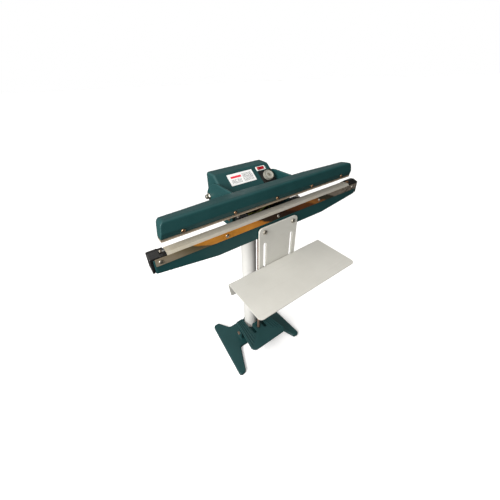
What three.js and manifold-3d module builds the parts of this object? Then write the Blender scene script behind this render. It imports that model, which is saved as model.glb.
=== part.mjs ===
// Foot-operated impulse heat sealer with a height-adjustable work tray, in millimetres.
// +X runs along the jaws to the operator's right, +Y points away from the operator and +Z is up.
// The origin is on the floor, on the axis of the column. The jaw is modelled open, as it rests.

import * as THREE from 'three';
import { mergeVertices } from 'three/addons/utils/BufferGeometryUtils.js';
import Module from 'manifold-3d';

const wasm = await Module();
wasm.setup();

// ---------------------------------------------------------------------------------------------
// Driving dimensions
// ---------------------------------------------------------------------------------------------

const GAP = 0.3;                        // clearance between pieces that touch

const BASE_HEIGHT = 14;                 // thickness of the cast feet
const COLUMN_RADIUS = 26.5;
const COLUMN_WALL = 2.5;
const SOCKET_FLOOR = 10;                // the column stands this high above the floor
const FLANGE_TOP = 612.7;               // welded top flange of the column
const FLANGE_THICKNESS = 6;
const FLANGE_BOLTS = [44, 33];          // half spacings in X and Y

const BODY_BOTTOM = 613;                // underside of the lower casting
const BODY_FLOOR = 621;                 // inner floor of its tub
const BODY_TOP = 665;                   // rim of its tub, under the control box
const BODY_HALF = 96;                   // half width of the tub
const JAW_TOP = 670;                    // flat top of the lower jaw beam
const JAW_FRONT = -145.4;
const JAW_REAR = -110;
const LOWER_JAW = { left: -335, right: 343.5 };   // ends of the lower jaw beam
const END_CAP = { depth: 5.5, foot: 637, ridge: 681 };
const HOOD_START = 317.3;               // inner end of the hood over each ribbon clamp
const STRIP_PITCH = 160;                // spacing of the five screws in the cover strip
const SEAL_TOP = 677.5;                 // top of the cover tape, where the seal is made

const PIVOT = { y: 52, z: 678 };        // axis of the upper jaw
const OPEN_ANGLE = THREE.MathUtils.degToRad(6.5);
const UPPER_JAW_HALF = 309;
const UPPER_PITCH = 129.5;              // spacing of the five screws in the upper jaw
const ARM_INNER = 99;
const ARM_OUTER = 105.5;
const CROSSBAR = { y: -110, z: -38 };   // from the pivot, with the jaw closed
const CROSSBAR_RADIUS = 6;

const ROD_Y = -60;                      // pull rod, in front of the column
const ROD_RADIUS = 5.2;
const SPRING_SEAT = 560;                // top of the shelf that carries the return spring
const ROD_COLLAR = 602;                 // underside of the collar that the spring pushes up

const PEDAL_PIVOT = { y: -16, z: 40 };
const PEDAL_TILT = THREE.MathUtils.degToRad(7);

const BOX_HALF = 98.5;                  // control box
const BOX_REAR = 72;
const BOX_TOP = 750;
const BOX_WALL = 3;
const PANEL_RIDGE = { y: 25, z: 750 };  // top edge of the sloping control panel
const PANEL_FOOT = { y: -74, z: 674 };  // bottom edge of it

const BRACKET_HALF = 68.5;
const BRACKET_BACK = -148.5;
const BRACKET_THICKNESS = 5;
const SLOT_X = 49;
const TRAY_TOP = 517;
const TRAY_HALF = 173;
const TRAY_FRONT = -295.6;
const TRAY_SHEET = 2;
const TRAY_BOLT_Z = 500;

// ---------------------------------------------------------------------------------------------
// Looks
// ---------------------------------------------------------------------------------------------

function look(color, roughness, metalness) {
  return new THREE.MeshStandardMaterial({ color, roughness, metalness });
}

const GREEN_PAINT = look(0x24484c, 0.45, 0.1);
const WHITE_PAINT = look(0xe4e3de, 0.4, 0.05);
const CREAM_PAINT = look(0xdcd9cf, 0.5, 0.05);
const MIRROR_STEEL = look(0xb6a48c, 0.12, 1.0);
const ZINC = look(0xb9b7ad, 0.35, 0.9);
const BRASS = look(0xa8854c, 0.35, 0.9);
const RUSTY_STEEL = look(0x6b4a38, 0.6, 0.7);
const BRIGHT_STEEL = look(0xc8c8c6, 0.3, 0.9);
const BLACK_BAKELITE = look(0x161616, 0.4, 0.0);
const TAPE = look(0xb9b0a0, 0.6, 0.0);
const SILICONE = look(0xb7a890, 0.7, 0.0);
const ALUMINIUM = look(0x9b8f7e, 0.45, 0.7);
const LABEL = look(0xf0f0ee, 0.5, 0.0);
const RED_PLASTIC = look(0xc0182a, 0.3, 0.0);
const KNOB_PLASTIC = look(0x8f8878, 0.45, 0.0);
const COPPER = look(0x9a5a2e, 0.4, 0.6);
const LAMINATION = look(0x55585c, 0.5, 0.7);
const CIRCUIT = look(0x1f6b3a, 0.5, 0.0);
const EARTH_INSULATION = look(0xa8b02c, 0.5, 0.0);

// ---------------------------------------------------------------------------------------------
// Shape helpers
// ---------------------------------------------------------------------------------------------

// Turns an outline in the plane across an axis into world directions.
// Along x the outline is (y, z), along y it is (x, z) and along z it is (x, y).
const X = new THREE.Vector3(1, 0, 0);
const Y = new THREE.Vector3(0, 1, 0);
const Z = new THREE.Vector3(0, 0, 1);
const FRAMES = {
  x: new THREE.Matrix4().makeBasis(Y, Z, X),
  y: new THREE.Matrix4().makeBasis(X, Z, Y.clone().negate()),
  z: new THREE.Matrix4(),
};

// A closed outline from [u, v, corner radius] points; a corner without a radius is sharp.
function outline(points) {
  const shape = new THREE.Shape();
  const at = (i) => {
    const [u, v] = points[(i + points.length) % points.length];
    return new THREE.Vector2(u, v);
  };
  points.forEach(([, , radius = 0], i) => {
    const corner = at(i);
    const back = at(i - 1).sub(corner).normalize();
    const ahead = at(i + 1).sub(corner).normalize();
    const halfAngle = Math.acos(THREE.MathUtils.clamp(back.dot(ahead), -1, 1)) / 2;
    const reach = radius / Math.tan(halfAngle);
    const start = corner.clone().addScaledVector(back, reach);
    const end = corner.clone().addScaledVector(ahead, reach);
    if (i === 0) {
      shape.moveTo(start.x, start.y);
    } else {
      shape.lineTo(start.x, start.y);
    }
    if (radius > 0) {
      shape.quadraticCurveTo(corner.x, corner.y, end.x, end.y);
    }
  });
  shape.closePath();
  return shape;
}

// An oblong hole, [half length] to each side of its centre along u or v.
function oblong(u, v, halfWidth, halfU, halfV) {
  const r = halfWidth;
  return outline([
    [u - halfU - r, v - halfV - r, r],
    [u + halfU + r, v - halfV - r, r],
    [u + halfU + r, v + halfV + r, r],
    [u - halfU - r, v + halfV + r, r],
  ]);
}

function extrude(axis, shape, low, high, curveSegments = 3) {
  const depth = high - low;
  const geometry = new THREE.ExtrudeGeometry(shape, { depth, bevelEnabled: false, curveSegments });
  geometry.applyMatrix4(FRAMES[axis]);
  const start = axis === 'y' ? high : low;
  return geometry.translate(axis === 'x' ? start : 0, axis === 'y' ? start : 0, axis === 'z' ? start : 0);
}

function box(low, high) {
  const size = high.map((value, i) => value - low[i]);
  const middle = high.map((value, i) => (value + low[i]) / 2);
  return new THREE.BoxGeometry(...size).translate(...middle);
}

// A cylinder along an axis; u and v are its centre across that axis.
function cylinder(axis, radius, low, high, u, v, sides = 20) {
  const geometry = new THREE.CylinderGeometry(radius, radius, high - low, sides);
  const middle = (low + high) / 2;
  if (axis === 'x') {
    return geometry.rotateZ(Math.PI / 2).translate(middle, u, v);
  }
  if (axis === 'y') {
    return geometry.translate(u, middle, v);
  }
  return geometry.rotateX(Math.PI / 2).translate(u, v, middle);
}

function solid(geometry) {
  const bare = geometry.clone();
  bare.deleteAttribute('normal');
  bare.deleteAttribute('uv');
  const merged = mergeVertices(bare, 1e-4);
  const vertProperties = new Float32Array(merged.attributes.position.array);
  const triVerts = new Uint32Array(merged.index.array);
  return new wasm.Manifold(new wasm.Mesh({ numProp: 3, vertProperties, triVerts }));
}

function surface(body) {
  const mesh = body.getMesh();
  const geometry = new THREE.BufferGeometry();
  geometry.setAttribute('position', new THREE.BufferAttribute(new Float32Array(mesh.vertProperties), 3));
  geometry.setIndex(new THREE.BufferAttribute(new Uint32Array(mesh.triVerts), 1));
  geometry.computeVertexNormals();
  return geometry;
}

function join(first, ...others) {
  return surface(others.reduce((sum, other) => sum.add(solid(other)), solid(first)));
}

function cut(first, ...tools) {
  return surface(tools.reduce((rest, tool) => rest.subtract(solid(tool)), solid(first)));
}

function overlap(first, ...others) {
  return surface(others.reduce((rest, other) => rest.intersect(solid(other)), solid(first)));
}

const machine = new THREE.Group();

function part(name, geometry, material, parent = machine) {
  const mesh = new THREE.Mesh(geometry, material);
  mesh.name = name;
  parent.add(mesh);
}

// The two ends of a stretch in rising order, for pieces mirrored to either side.
function span(a, b) {
  return [Math.min(a, b), Math.max(a, b)];
}

const SIDES = [['left', -1], ['right', 1]];
const FIVE = [-2, -1, 0, 1, 2];

// ---------------------------------------------------------------------------------------------
// Base, column and pedal
// ---------------------------------------------------------------------------------------------

function baseCasting() {
  const plan = outline([
    [91, -55, 10], [129, -151, 9], [156, -154, 11], [142, 96, 12], [116, 98, 12], [83, 50, 12],
    [-83, 50, 12], [-116, 98, 12], [-142, 96, 12], [-156, -154, 11], [-129, -151, 9], [-91, -55, 10],
  ]);
  const feet = extrude('z', plan, 0, BASE_HEIGHT);
  const boss = cylinder('z', 37, 0, 44, 0, 0, 28);
  const lugProfile = outline([[-32, 8], [0, 8], [-3, 51, 12], [-29, 51, 12]]);
  const lugs = SIDES.map(([, side]) => extrude('x', lugProfile, side * 67 - 4, side * 67 + 4, 4));
  const socket = cylinder('z', COLUMN_RADIUS + GAP, SOCKET_FLOOR, 60, 0, 0, 32);
  const pinHoles = cylinder('x', 5 + GAP, -90, 90, PEDAL_PIVOT.y, PEDAL_PIVOT.z, 16);
  const keep = cylinder('z', 38, 0, 60, 0, 0, 28);
  const drilledLugs = lugs.map((lug) => cut(lug, pinHoles, keep));
  return cut(join(feet, boss, ...drilledLugs), socket);
}

function column() {
  const tubeProfile = [
    new THREE.Vector2(COLUMN_RADIUS - COLUMN_WALL, SOCKET_FLOOR + GAP),
    new THREE.Vector2(COLUMN_RADIUS, SOCKET_FLOOR + GAP),
    new THREE.Vector2(COLUMN_RADIUS, FLANGE_TOP),
    new THREE.Vector2(COLUMN_RADIUS - COLUMN_WALL, FLANGE_TOP),
    new THREE.Vector2(COLUMN_RADIUS - COLUMN_WALL, SOCKET_FLOOR + GAP),
  ];
  const tube = new THREE.LatheGeometry(tubeProfile, 32).rotateX(Math.PI / 2);
  const bore = cylinder('z', COLUMN_RADIUS - 1, 500, 620, 0, 0, 32);
  const flangePlan = outline([[-56, -44, 6], [56, -44, 6], [56, 44, 6], [-56, 44, 6]]);
  const flange = extrude('z', flangePlan, FLANGE_TOP - FLANGE_THICKNESS, FLANGE_TOP);
  const shelf = box([-16, -76, SPRING_SEAT - 4], [16, -20, SPRING_SEAT]);
  const rodHole = cylinder('z', ROD_RADIUS + 1, 540, 580, 0, ROD_Y, 16);
  const boltHoles = flangeBoltPlaces().map(([x, y]) => cylinder('z', 4.3, 590, 630, x, y, 12));
  return join(solidTube(tube), cut(flange, bore, ...boltHoles), cut(shelf, bore, rodHole));
}

// LatheGeometry faces inwards when its profile runs up the outside, so the tube is turned out.
function solidTube(tube) {
  if (solid(tube).volume() > 0) {
    return tube;
  }
  const flipped = tube.clone();
  const index = flipped.index.array;
  for (let i = 0; i < index.length; i += 3) {
    [index[i], index[i + 1]] = [index[i + 1], index[i]];
  }
  return flipped;
}

function flangeBoltPlaces() {
  const [dx, dy] = FLANGE_BOLTS;
  return [[-dx, -dy], [dx, -dy], [dx, dy], [-dx, dy]];
}

function flangeBolt(x, y) {
  const seat = FLANGE_TOP - FLANGE_THICKNESS;
  const head = cylinder('z', 7, seat - 5.5, seat - GAP, x, y, 6);
  const shank = cylinder('z', 4, seat - 2, 619, x, y, 12);
  return join(head, shank);
}

// The pedal is modelled level, from its own pivot, and tilted by its group.
function pedal() {
  const plan = outline([
    [-64, 30.5, 4], [-86, -131, 20], [86, -131, 20], [64, 30.5, 4],
    [33, 30.5, 2], [33, -68, 6.8], [19, -68, 6.8], [19, -20, 10],
    [-19, -20, 10], [-19, -68, 6.8], [-33, -68, 6.8], [-33, 30.5, 2],
  ]);
  plan.holes.push(oblong(0, -44.2, ROD_RADIUS + 1, 0, 4.6));
  const plate = extrude('z', plan, 27, 33);
  const ribs = [];
  for (const [, side] of SIDES) {
    for (let i = 0; i < 4; i += 1) {
      const rear = side * (38.5 + 6.6 * i);
      const front = side * (43 + 11.4 * i);
      const frontY = -87 - 9.5 * i;
      const ridge = [[rear - 1.5, 26], [rear + 1.5, 26], [front + 1.5, frontY], [front - 1.5, frontY]];
      ribs.push(extrude('z', outline(ridge), 31, 35.5));
    }
  }
  const earProfile = outline([[-16, 29], [-9, -9, 8], [9, -9, 8], [16, 29]]);
  const ears = SIDES.map(([, side]) => extrude('x', earProfile, side * 55 - 4, side * 55 + 4, 4));
  const pinHoles = cylinder('x', 5 + GAP, -90, 90, 0, 0, 16);
  return join(plate, ...ribs, ...ears.map((ear) => cut(ear, pinHoles)));
}

function pedalPin(side) {
  const { y, z } = PEDAL_PIVOT;
  const outer = side * 76;
  const shank = cylinder('x', 5, ...span(side * 50, outer), y, z, 16);
  const head = cylinder('x', 8, ...span(side * (71 + GAP), outer), y, z, 6);
  return join(shank, head);
}

// Where the yoke's cross-bar lies with the jaw open, in the machine's frame.
const barRest = {
  y: PIVOT.y + CROSSBAR.y * Math.cos(OPEN_ANGLE) + CROSSBAR.z * Math.sin(OPEN_ANGLE),
  z: PIVOT.z - CROSSBAR.y * Math.sin(OPEN_ANGLE) + CROSSBAR.z * Math.cos(OPEN_ANGLE),
};

function pullRod() {
  const stem = cylinder('z', ROD_RADIUS, 52, barRest.z - 10, 0, ROD_Y, 16);
  const collar = cylinder('z', 9.6, ROD_COLLAR, ROD_COLLAR + 4.5, 0, ROD_Y, 20);
  const nut = cylinder('z', 9, 61.5, 70, 0, ROD_Y, 6);
  const eyeOutline = outline([
    [ROD_Y - 15, barRest.z - 12, 5], [ROD_Y + 15, barRest.z - 12, 5],
    [ROD_Y + 15, barRest.z + 11, 7], [ROD_Y - 15, barRest.z + 11, 7],
  ]);
  eyeOutline.holes.push(oblong(ROD_Y, barRest.z, CROSSBAR_RADIUS + 0.7, 2.6, 0));
  return join(stem, collar, nut, extrude('x', eyeOutline, -8, 8, 5));
}

class Helix extends THREE.Curve {
  constructor(radius, low, high, turns) {
    super();
    Object.assign(this, { radius, low, high, turns });
  }

  getPoint(t) {
    const angle = 2 * Math.PI * this.turns * t;
    const height = this.low + (this.high - this.low) * t;
    return new THREE.Vector3(this.radius * Math.cos(angle), this.radius * Math.sin(angle), height);
  }
}

function ring(radius, sides) {
  const points = [];
  for (let i = 0; i < sides; i += 1) {
    const angle = (2 * Math.PI * i) / sides;
    points.push(new THREE.Vector2(radius * Math.cos(angle), radius * Math.sin(angle)));
  }
  return new THREE.Shape(points);
}

function returnSpring() {
  const wire = 1.4;
  const path = new Helix(7.6, SPRING_SEAT + wire + GAP, ROD_COLLAR - wire - GAP, 7);
  const sweep = { steps: 84, bevelEnabled: false, extrudePath: path };
  return new THREE.ExtrudeGeometry(ring(wire, 6), sweep).translate(0, ROD_Y, 0);
}

// ---------------------------------------------------------------------------------------------
// Lower jaw
// ---------------------------------------------------------------------------------------------

const STRIP = { left: -331, right: 340, bottom: 654, top: 672.5, front: -147.5, back: -146.5 };
const STRIP_SCREW_Z = 663.5;
const BRACKET_BOLT = { x: 50.3, z: 633 };
const TAB_BOLT = { x: 104, y: -110.5 };

function lowerCasting() {
  const face = outline([
    [LOWER_JAW.left, 634, 4], [-186, BODY_BOTTOM, 60], [186, BODY_BOTTOM, 60],
    [LOWER_JAW.right, 634, 4], [LOWER_JAW.right, JAW_TOP], [LOWER_JAW.left, JAW_TOP],
  ]);
  const beam = extrude('y', face, JAW_FRONT, JAW_REAR);
  const tubPlan = outline([
    [-BODY_HALF, -112], [BODY_HALF, -112], [BODY_HALF, BOX_REAR, 12], [-BODY_HALF, BOX_REAR, 12],
  ]);
  const tub = extrude('z', tubPlan, BODY_BOTTOM, BODY_TOP);
  const hollow = box(
    [-BODY_HALF + 7, JAW_REAR + 11, BODY_FLOOR], [BODY_HALF - 7, BOX_REAR - 7, BODY_TOP + 5],
  );
  const barNotch = box([-120, barRest.y - 9, 632], [120, CROSSBAR.y + PIVOT.y + 9, BODY_TOP + 5]);
  const bosses = SIDES.map(([, side]) => (
    cylinder('y', 11, BRACKET_BACK + GAP, JAW_FRONT + 2, side * BRACKET_BOLT.x, BRACKET_BOLT.z, 20)
  ));
  const tabBosses = SIDES.map(([, side]) => (
    cylinder('z', 6.5, 650, JAW_TOP, side * TAB_BOLT.x, TAB_BOLT.y + 1.5, 16)
  ));
  const drills = [
    cylinder('z', ROD_RADIUS + 1, 600, 630, 0, ROD_Y, 16),
    ...flangeBoltPlaces().map(([x, y]) => cylinder('z', 4.3, 600, 619.5, x, y, 12)),
    ...FIVE.map((i) => cylinder('y', 2.8, -160, -134, i * STRIP_PITCH, STRIP_SCREW_Z, 10)),
    ...SIDES.map(([, side]) => cylinder('y', 4, -160, -130, side * BRACKET_BOLT.x, BRACKET_BOLT.z, 12)),
    ...SIDES.map(([, side]) => cylinder('z', 2.6, 655, 672, side * TAB_BOLT.x, TAB_BOLT.y, 10)),
  ];
  return cut(join(cut(join(beam, tub), hollow, barNotch), ...bosses, ...tabBosses), ...drills);
}

function ptfeCover() {
  const profile = outline([
    [-146.2, 657], [-145.7, 657], [-145.7, 671.2], [-140.9, 677], [-119.9, 677], [-118.9, 670.6],
    [-118.4, 670.6], [-119.4, SEAL_TOP], [-141.2, SEAL_TOP], [-146.2, 671.5],
  ]);
  const band = extrude('x', profile, -304, 304);
  const holes = [-1, 0, 1].map((i) => (
    cylinder('y', 2.8, -150, -144, i * STRIP_PITCH, STRIP_SCREW_Z, 10)
  ));
  return cut(band, ...holes);
}

function coverStrip() {
  const strip = box(
    [STRIP.left, STRIP.front, STRIP.bottom], [STRIP.right, STRIP.back, STRIP.top],
  );
  const holes = FIVE.map((i) => cylinder('y', 2.8, -150, -144, i * STRIP_PITCH, STRIP_SCREW_Z, 10));
  return cut(strip, ...holes);
}

function stripScrew(i) {
  const x = i * STRIP_PITCH;
  const head = cylinder('y', 4.6, STRIP.front - 2.6, STRIP.front - GAP, x, STRIP_SCREW_Z, 12);
  const shank = cylinder('y', 2.4, STRIP.front - 1, -135, x, STRIP_SCREW_Z, 8);
  return join(head, shank);
}

// A moulded cap over each end of the lower jaw: a stepped tray, a hood over the clamp and a cheek.
function terminalBlock(name, side) {
  const tray = [
    [JAW_FRONT, JAW_TOP + GAP], [JAW_REAR, JAW_TOP + GAP], [JAW_REAR, 672.5], [JAW_FRONT + 9, 672.5],
    [JAW_FRONT + 9, 676.4, 1.5], [JAW_FRONT, 675, 1.5],
  ];
  const crown = [
    [JAW_REAR, 673, 3], [JAW_REAR - 8, 679, 4], [JAW_REAR - 19, END_CAP.ridge, 6], [JAW_FRONT, 675, 3],
  ];
  const hood = [[JAW_FRONT, JAW_TOP + GAP], [JAW_REAR, JAW_TOP + GAP], ...crown];
  const cheek = [[JAW_FRONT, END_CAP.foot, 3], [JAW_REAR, END_CAP.foot, 3], ...crown];
  const end = LOWER_JAW[name] + side * GAP;
  return join(
    extrude('x', outline(tray), ...span(side * 305, side * (HOOD_START + 1))),
    extrude('x', outline(hood), ...span(side * HOOD_START, end + side)),
    extrude('x', outline(cheek), ...span(end, end + side * END_CAP.depth)),
  );
}

function ribbonClamp(side) {
  const [low, high] = span(side * 310, side * 317);
  const block = box([low, -135, 672.8], [high, -126, 678.5]);
  const screw = cylinder('z', 2.6, 678, 681, side * 313.5, -130.5, 12);
  return join(block, screw);
}

function elementTab(side) {
  const [low, high] = span(side * 76, side * 110);
  const bar = box([low, -118, JAW_TOP + GAP], [high, -104, SEAL_TOP]);
  return cut(bar, cylinder('z', 2.6, 660, 680, side * TAB_BOLT.x, TAB_BOLT.y, 10));
}

function tabBolt(side) {
  const head = cylinder('z', 4.2, SEAL_TOP + GAP, 681.3, side * TAB_BOLT.x, TAB_BOLT.y, 6);
  const shank = cylinder('z', 2.2, 657, 679, side * TAB_BOLT.x, TAB_BOLT.y, 8);
  return join(head, shank);
}

function earthWire() {
  const route = new THREE.CatmullRomCurve3([
    new THREE.Vector3(-75, -110, 674.5),
    new THREE.Vector3(-60, -105, 672.5),
    new THREE.Vector3(-46, -95, 665),
    new THREE.Vector3(-28, -91, 658),
    new THREE.Vector3(-6, -90, 665),
    new THREE.Vector3(10, -88, 667),
    new THREE.Vector3(19, -87, 656),
    new THREE.Vector3(14, -87, 642),
    new THREE.Vector3(4, -87, 631),
  ]);
  return new THREE.ExtrudeGeometry(ring(1.6, 8), { steps: 26, bevelEnabled: false, extrudePath: route });
}

// ---------------------------------------------------------------------------------------------
// Tray and its bracket
// ---------------------------------------------------------------------------------------------

function bracket() {
  const face = outline([
    [-BRACKET_HALF, 470, 4], [BRACKET_HALF, 470, 4], [BRACKET_HALF, 647, 12], [-BRACKET_HALF, 647, 12],
  ]);
  for (const [, side] of SIDES) {
    face.holes.push(oblong(side * SLOT_X, 540.5, 4.5, 0, 52));
    face.holes.push(oblong(side * BRACKET_BOLT.x, BRACKET_BOLT.z, 4, 0, 0));
  }
  return extrude('y', face, BRACKET_BACK - BRACKET_THICKNESS, BRACKET_BACK, 4);
}

function bracketBolt(side) {
  const x = side * BRACKET_BOLT.x;
  const front = BRACKET_BACK - BRACKET_THICKNESS;
  const head = cylinder('y', 6.5, front - 4.5, front - GAP, x, BRACKET_BOLT.z, 12);
  const shank = cylinder('y', 3.6, front - 2, -133, x, BRACKET_BOLT.z, 10);
  return join(head, shank);
}

const FLANGE_BACK = BRACKET_BACK - BRACKET_THICKNESS - GAP;

function workTray() {
  const plan = outline([
    [-TRAY_HALF, TRAY_FRONT, 12], [TRAY_HALF, TRAY_FRONT, 12],
    [TRAY_HALF, FLANGE_BACK], [-TRAY_HALF, FLANGE_BACK],
  ]);
  const top = extrude('z', plan, TRAY_TOP - TRAY_SHEET, TRAY_TOP, 5);
  const face = outline([
    [-TRAY_HALF + 6, 467, 6], [TRAY_HALF - 6, 467, 6],
    [TRAY_HALF, TRAY_TOP - 1], [-TRAY_HALF, TRAY_TOP - 1],
  ]);
  for (const [, side] of SIDES) {
    face.holes.push(oblong(side * SLOT_X, TRAY_BOLT_Z, 3.9, 0, 0));
  }
  const flange = extrude('y', face, FLANGE_BACK - TRAY_SHEET, FLANGE_BACK, 4);
  return join(top, flange);
}

// A clamp screw with its nut: it holds the tray's flange against the bracket and slides in the slot.
function trayClamp(side) {
  const x = side * SLOT_X;
  const front = FLANGE_BACK - TRAY_SHEET;
  const head = cylinder('y', 7, front - 6, front - GAP, x, TRAY_BOLT_Z, 12);
  const shank = cylinder('y', 3.5, front - 2, BRACKET_BACK + 9, x, TRAY_BOLT_Z, 10);
  const nut = cylinder('y', 7.5, BRACKET_BACK + GAP, BRACKET_BACK + 6.5, x, TRAY_BOLT_Z, 6);
  return join(head, shank, nut);
}

// ---------------------------------------------------------------------------------------------
// Upper jaw, modelled closed from its pivot and opened by its group
// ---------------------------------------------------------------------------------------------

const UPPER = {
  front: -197, bevelFoot: -191, bevelTop: 20.5, bottom: 6.5, ridge: 48, rearEnd: -163, rearMiddle: -142,
};

function upperJaw() {
  const section = outline([
    [UPPER.bevelFoot, UPPER.bottom], [UPPER.rearMiddle, UPPER.bottom], [UPPER.rearMiddle, 44, 4],
    [-188, UPPER.ridge, 8], [UPPER.front, UPPER.ridge - 2, 3], [UPPER.front, UPPER.bevelTop],
  ]);
  const face = outline([
    [-UPPER_JAW_HALF, 3], [UPPER_JAW_HALF, 3],
    [UPPER_JAW_HALF - 8, UPPER.ridge, 14], [-UPPER_JAW_HALF + 8, UPPER.ridge, 14],
  ]);
  const plan = outline([
    [-UPPER_JAW_HALF, -200], [UPPER_JAW_HALF, -200], [UPPER_JAW_HALF, UPPER.rearEnd, 6],
    [115, UPPER.rearMiddle, 60], [-115, UPPER.rearMiddle, 60], [-UPPER_JAW_HALF, UPPER.rearEnd, 6],
  ]);
  const beam = overlap(
    extrude('x', section, -UPPER_JAW_HALF, UPPER_JAW_HALF),
    extrude('y', face, -210, -130, 5),
    extrude('z', plan, 0, 60),
  );
  const pocket = box([-UPPER_JAW_HALF + 16, -187, 3], [UPPER_JAW_HALF - 16, -172, 38]);
  const armProfile = outline([
    [-146, 12], [-134, 2, 12], [-127, -48, 12], [-114, -66, 12], [-89, -62, 12], [-72, -30, 24],
    [-20, -25, 12], [10, -15, 14], [13, 10, 11], [-2, 28, 14], [-38, 46, 22], [-62, 49.5, 30],
    [-146, 42],
  ]);
  const arms = SIDES.map(([, side]) => (
    extrude('x', armProfile, ...span(side * ARM_INNER, side * ARM_OUTER), 4)
  ));
  const drills = [
    cylinder('x', 6 + GAP, -130, 130, 0, 0, 20),
    cylinder('x', CROSSBAR_RADIUS + GAP, -130, 130, CROSSBAR.y, CROSSBAR.z, 20),
    ...FIVE.map((i) => bevelScrewPlace(cylinder('y', 2.7, -4, 12, 0, 0, 10), i)),
  ];
  return cut(join(cut(beam, pocket), ...arms), ...drills);
}

// Moves a piece made around the origin, facing -Y, to a screw's place on the jaw's lower bevel.
function bevelScrewPlace(geometry, i) {
  const rise = UPPER.bevelTop - UPPER.bottom;
  const run = UPPER.bevelFoot - UPPER.front;
  const middleY = (UPPER.front + UPPER.bevelFoot) / 2;
  const middleZ = (UPPER.bottom + UPPER.bevelTop) / 2;
  return geometry.rotateX(Math.atan2(run, rise)).translate(i * UPPER_PITCH, middleY, middleZ);
}

function jawScrew(i) {
  const head = cylinder('y', 4.6, -3, -GAP, 0, 0, 12);
  const shank = cylinder('y', 2.3, -2, 9, 0, 0, 8);
  return bevelScrewPlace(join(head, shank), i);
}

function yokeCrossbar() {
  const bar = cylinder('x', CROSSBAR_RADIUS, -ARM_OUTER - 3, ARM_OUTER + 3, CROSSBAR.y, CROSSBAR.z, 20);
  const heads = SIDES.map(([, side]) => {
    const ends = span(side * (ARM_OUTER + GAP), side * (ARM_OUTER + 1.5));
    return cylinder('x', 8, ...ends, CROSSBAR.y, CROSSBAR.z, 20);
  });
  return join(bar, ...heads);
}

function pivotNut(side) {
  const shoulder = side * (ARM_OUTER + 2);
  const washer = cylinder('x', 10, ...span(side * (ARM_OUTER + GAP), shoulder), 0, 0, 20);
  const nut = cylinder('x', 8, ...span(shoulder, side * (ARM_OUTER + 9)), 0, 0, 6);
  return cut(join(washer, nut), cylinder('x', 6 + GAP, -130, 130, 0, 0, 20));
}

// ---------------------------------------------------------------------------------------------
// Control box
// ---------------------------------------------------------------------------------------------

const PANEL_SLOPE = Math.atan2(PANEL_RIDGE.z - PANEL_FOOT.z, PANEL_RIDGE.y - PANEL_FOOT.y);
const SWITCH = { x: 60, down: 16 };
const DIAL = { x: 68, down: 49 };

// The panel's own frame: +X along the machine, +Y up the slope from the ridge, +Z out of the panel.
const panel = new THREE.Group();
panel.position.set(0, PANEL_RIDGE.y, PANEL_RIDGE.z);
panel.rotation.x = PANEL_SLOPE;
panel.updateMatrix();

function controlBox() {
  const shell = outline([
    [BOX_REAR, BODY_TOP + GAP], [BOX_REAR, BOX_TOP, 7], [PANEL_RIDGE.y, PANEL_RIDGE.z, 6],
    [PANEL_FOOT.y, PANEL_FOOT.z, 3], [PANEL_FOOT.y, BODY_TOP + GAP],
  ]);
  const inside = outline([
    [BOX_REAR - BOX_WALL, BODY_TOP - 5], [BOX_REAR - BOX_WALL, BOX_TOP - BOX_WALL, 4],
    [PANEL_RIDGE.y - 1, BOX_TOP - BOX_WALL, 4], [PANEL_FOOT.y + BOX_WALL, PANEL_FOOT.z - 1.5],
    [PANEL_FOOT.y + BOX_WALL, BODY_TOP - 5],
  ]);
  const inner = BOX_HALF - BOX_WALL;
  const openings = [
    box([SWITCH.x - 14, -SWITCH.down - 6, -20], [SWITCH.x + 14, -SWITCH.down + 6, 5]),
    cylinder('z', 3.8, -20, 5, DIAL.x, -DIAL.down, 16),
  ].map((tool) => tool.applyMatrix4(panel.matrix));
  return cut(
    extrude('x', shell, -BOX_HALF, BOX_HALF),
    extrude('x', inside, -inner, inner),
    cylinder('x', 6 + GAP, -130, 130, PIVOT.y, PIVOT.z, 20),
    cylinder('y', 8 + GAP, 60, 80, -50, 690, 20),
    ...openings,
  );
}

function switchBezel() {
  const face = outline([[-17, -7.5, 1.5], [17, -7.5, 1.5], [17, 7.5, 1.5], [-17, 7.5, 1.5]]);
  face.holes.push(outline([[-13, -5.4], [13, -5.4], [13, 5.4], [-13, 5.4]]));
  return extrude('z', face, GAP, 2.3).translate(SWITCH.x, -SWITCH.down, 0);
}

// The rocker is modelled level and tipped by its own group, as it rests.
function powerRocker() {
  const profile = outline([
    [-11.8, -3.5, 1], [11.8, -3.5, 1], [11.8, 3.4, 0.6], [0, 2, 6], [-11.8, 3.4, 0.6],
  ]);
  return extrude('y', profile, -4.8, 4.8);
}

function dialPlate() {
  return cut(box([43, -74, GAP], [92, -26, 1.3]), cylinder('z', 3.8, -5, 5, DIAL.x, -DIAL.down, 16));
}

function timerDial() {
  const knob = cylinder('z', 16.5, 2.8, 12, 0, 0, 36);
  const skirtCut = [];
  for (let i = 0; i < 18; i += 1) {
    const angle = (2 * Math.PI * i) / 18;
    skirtCut.push(cylinder('z', 1.4, 5, 20, 17 * Math.cos(angle), 17 * Math.sin(angle), 8));
  }
  const spindle = cylinder('z', 3, -8.7, 4, 0, 0, 12);
  return join(cut(knob, ...skirtCut), spindle).translate(DIAL.x, -DIAL.down, 0);
}

function transformerCore() {
  const block = box([-45, -20, BODY_FLOOR + GAP], [45, 16, 700]);
  const windows = SIDES.map(([, side]) => (
    box([side * 22 - 10, -30, 636], [side * 22 + 10, 30, 686])
  ));
  return cut(block, ...windows);
}

function transformerCoil() {
  return cut(box([-31.5, -36, 636.5], [31.5, 32, 685.5]), box([-12.4, -20.4, 630], [12.4, 16.4, 690]));
}

function microswitch() {
  const body = box([58, -84, BODY_FLOOR + GAP], [78, -44, 629]);
  const plunger = cylinder('z', 2, 628, 631.5, 68, -58, 10);
  return join(body, plunger);
}

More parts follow.
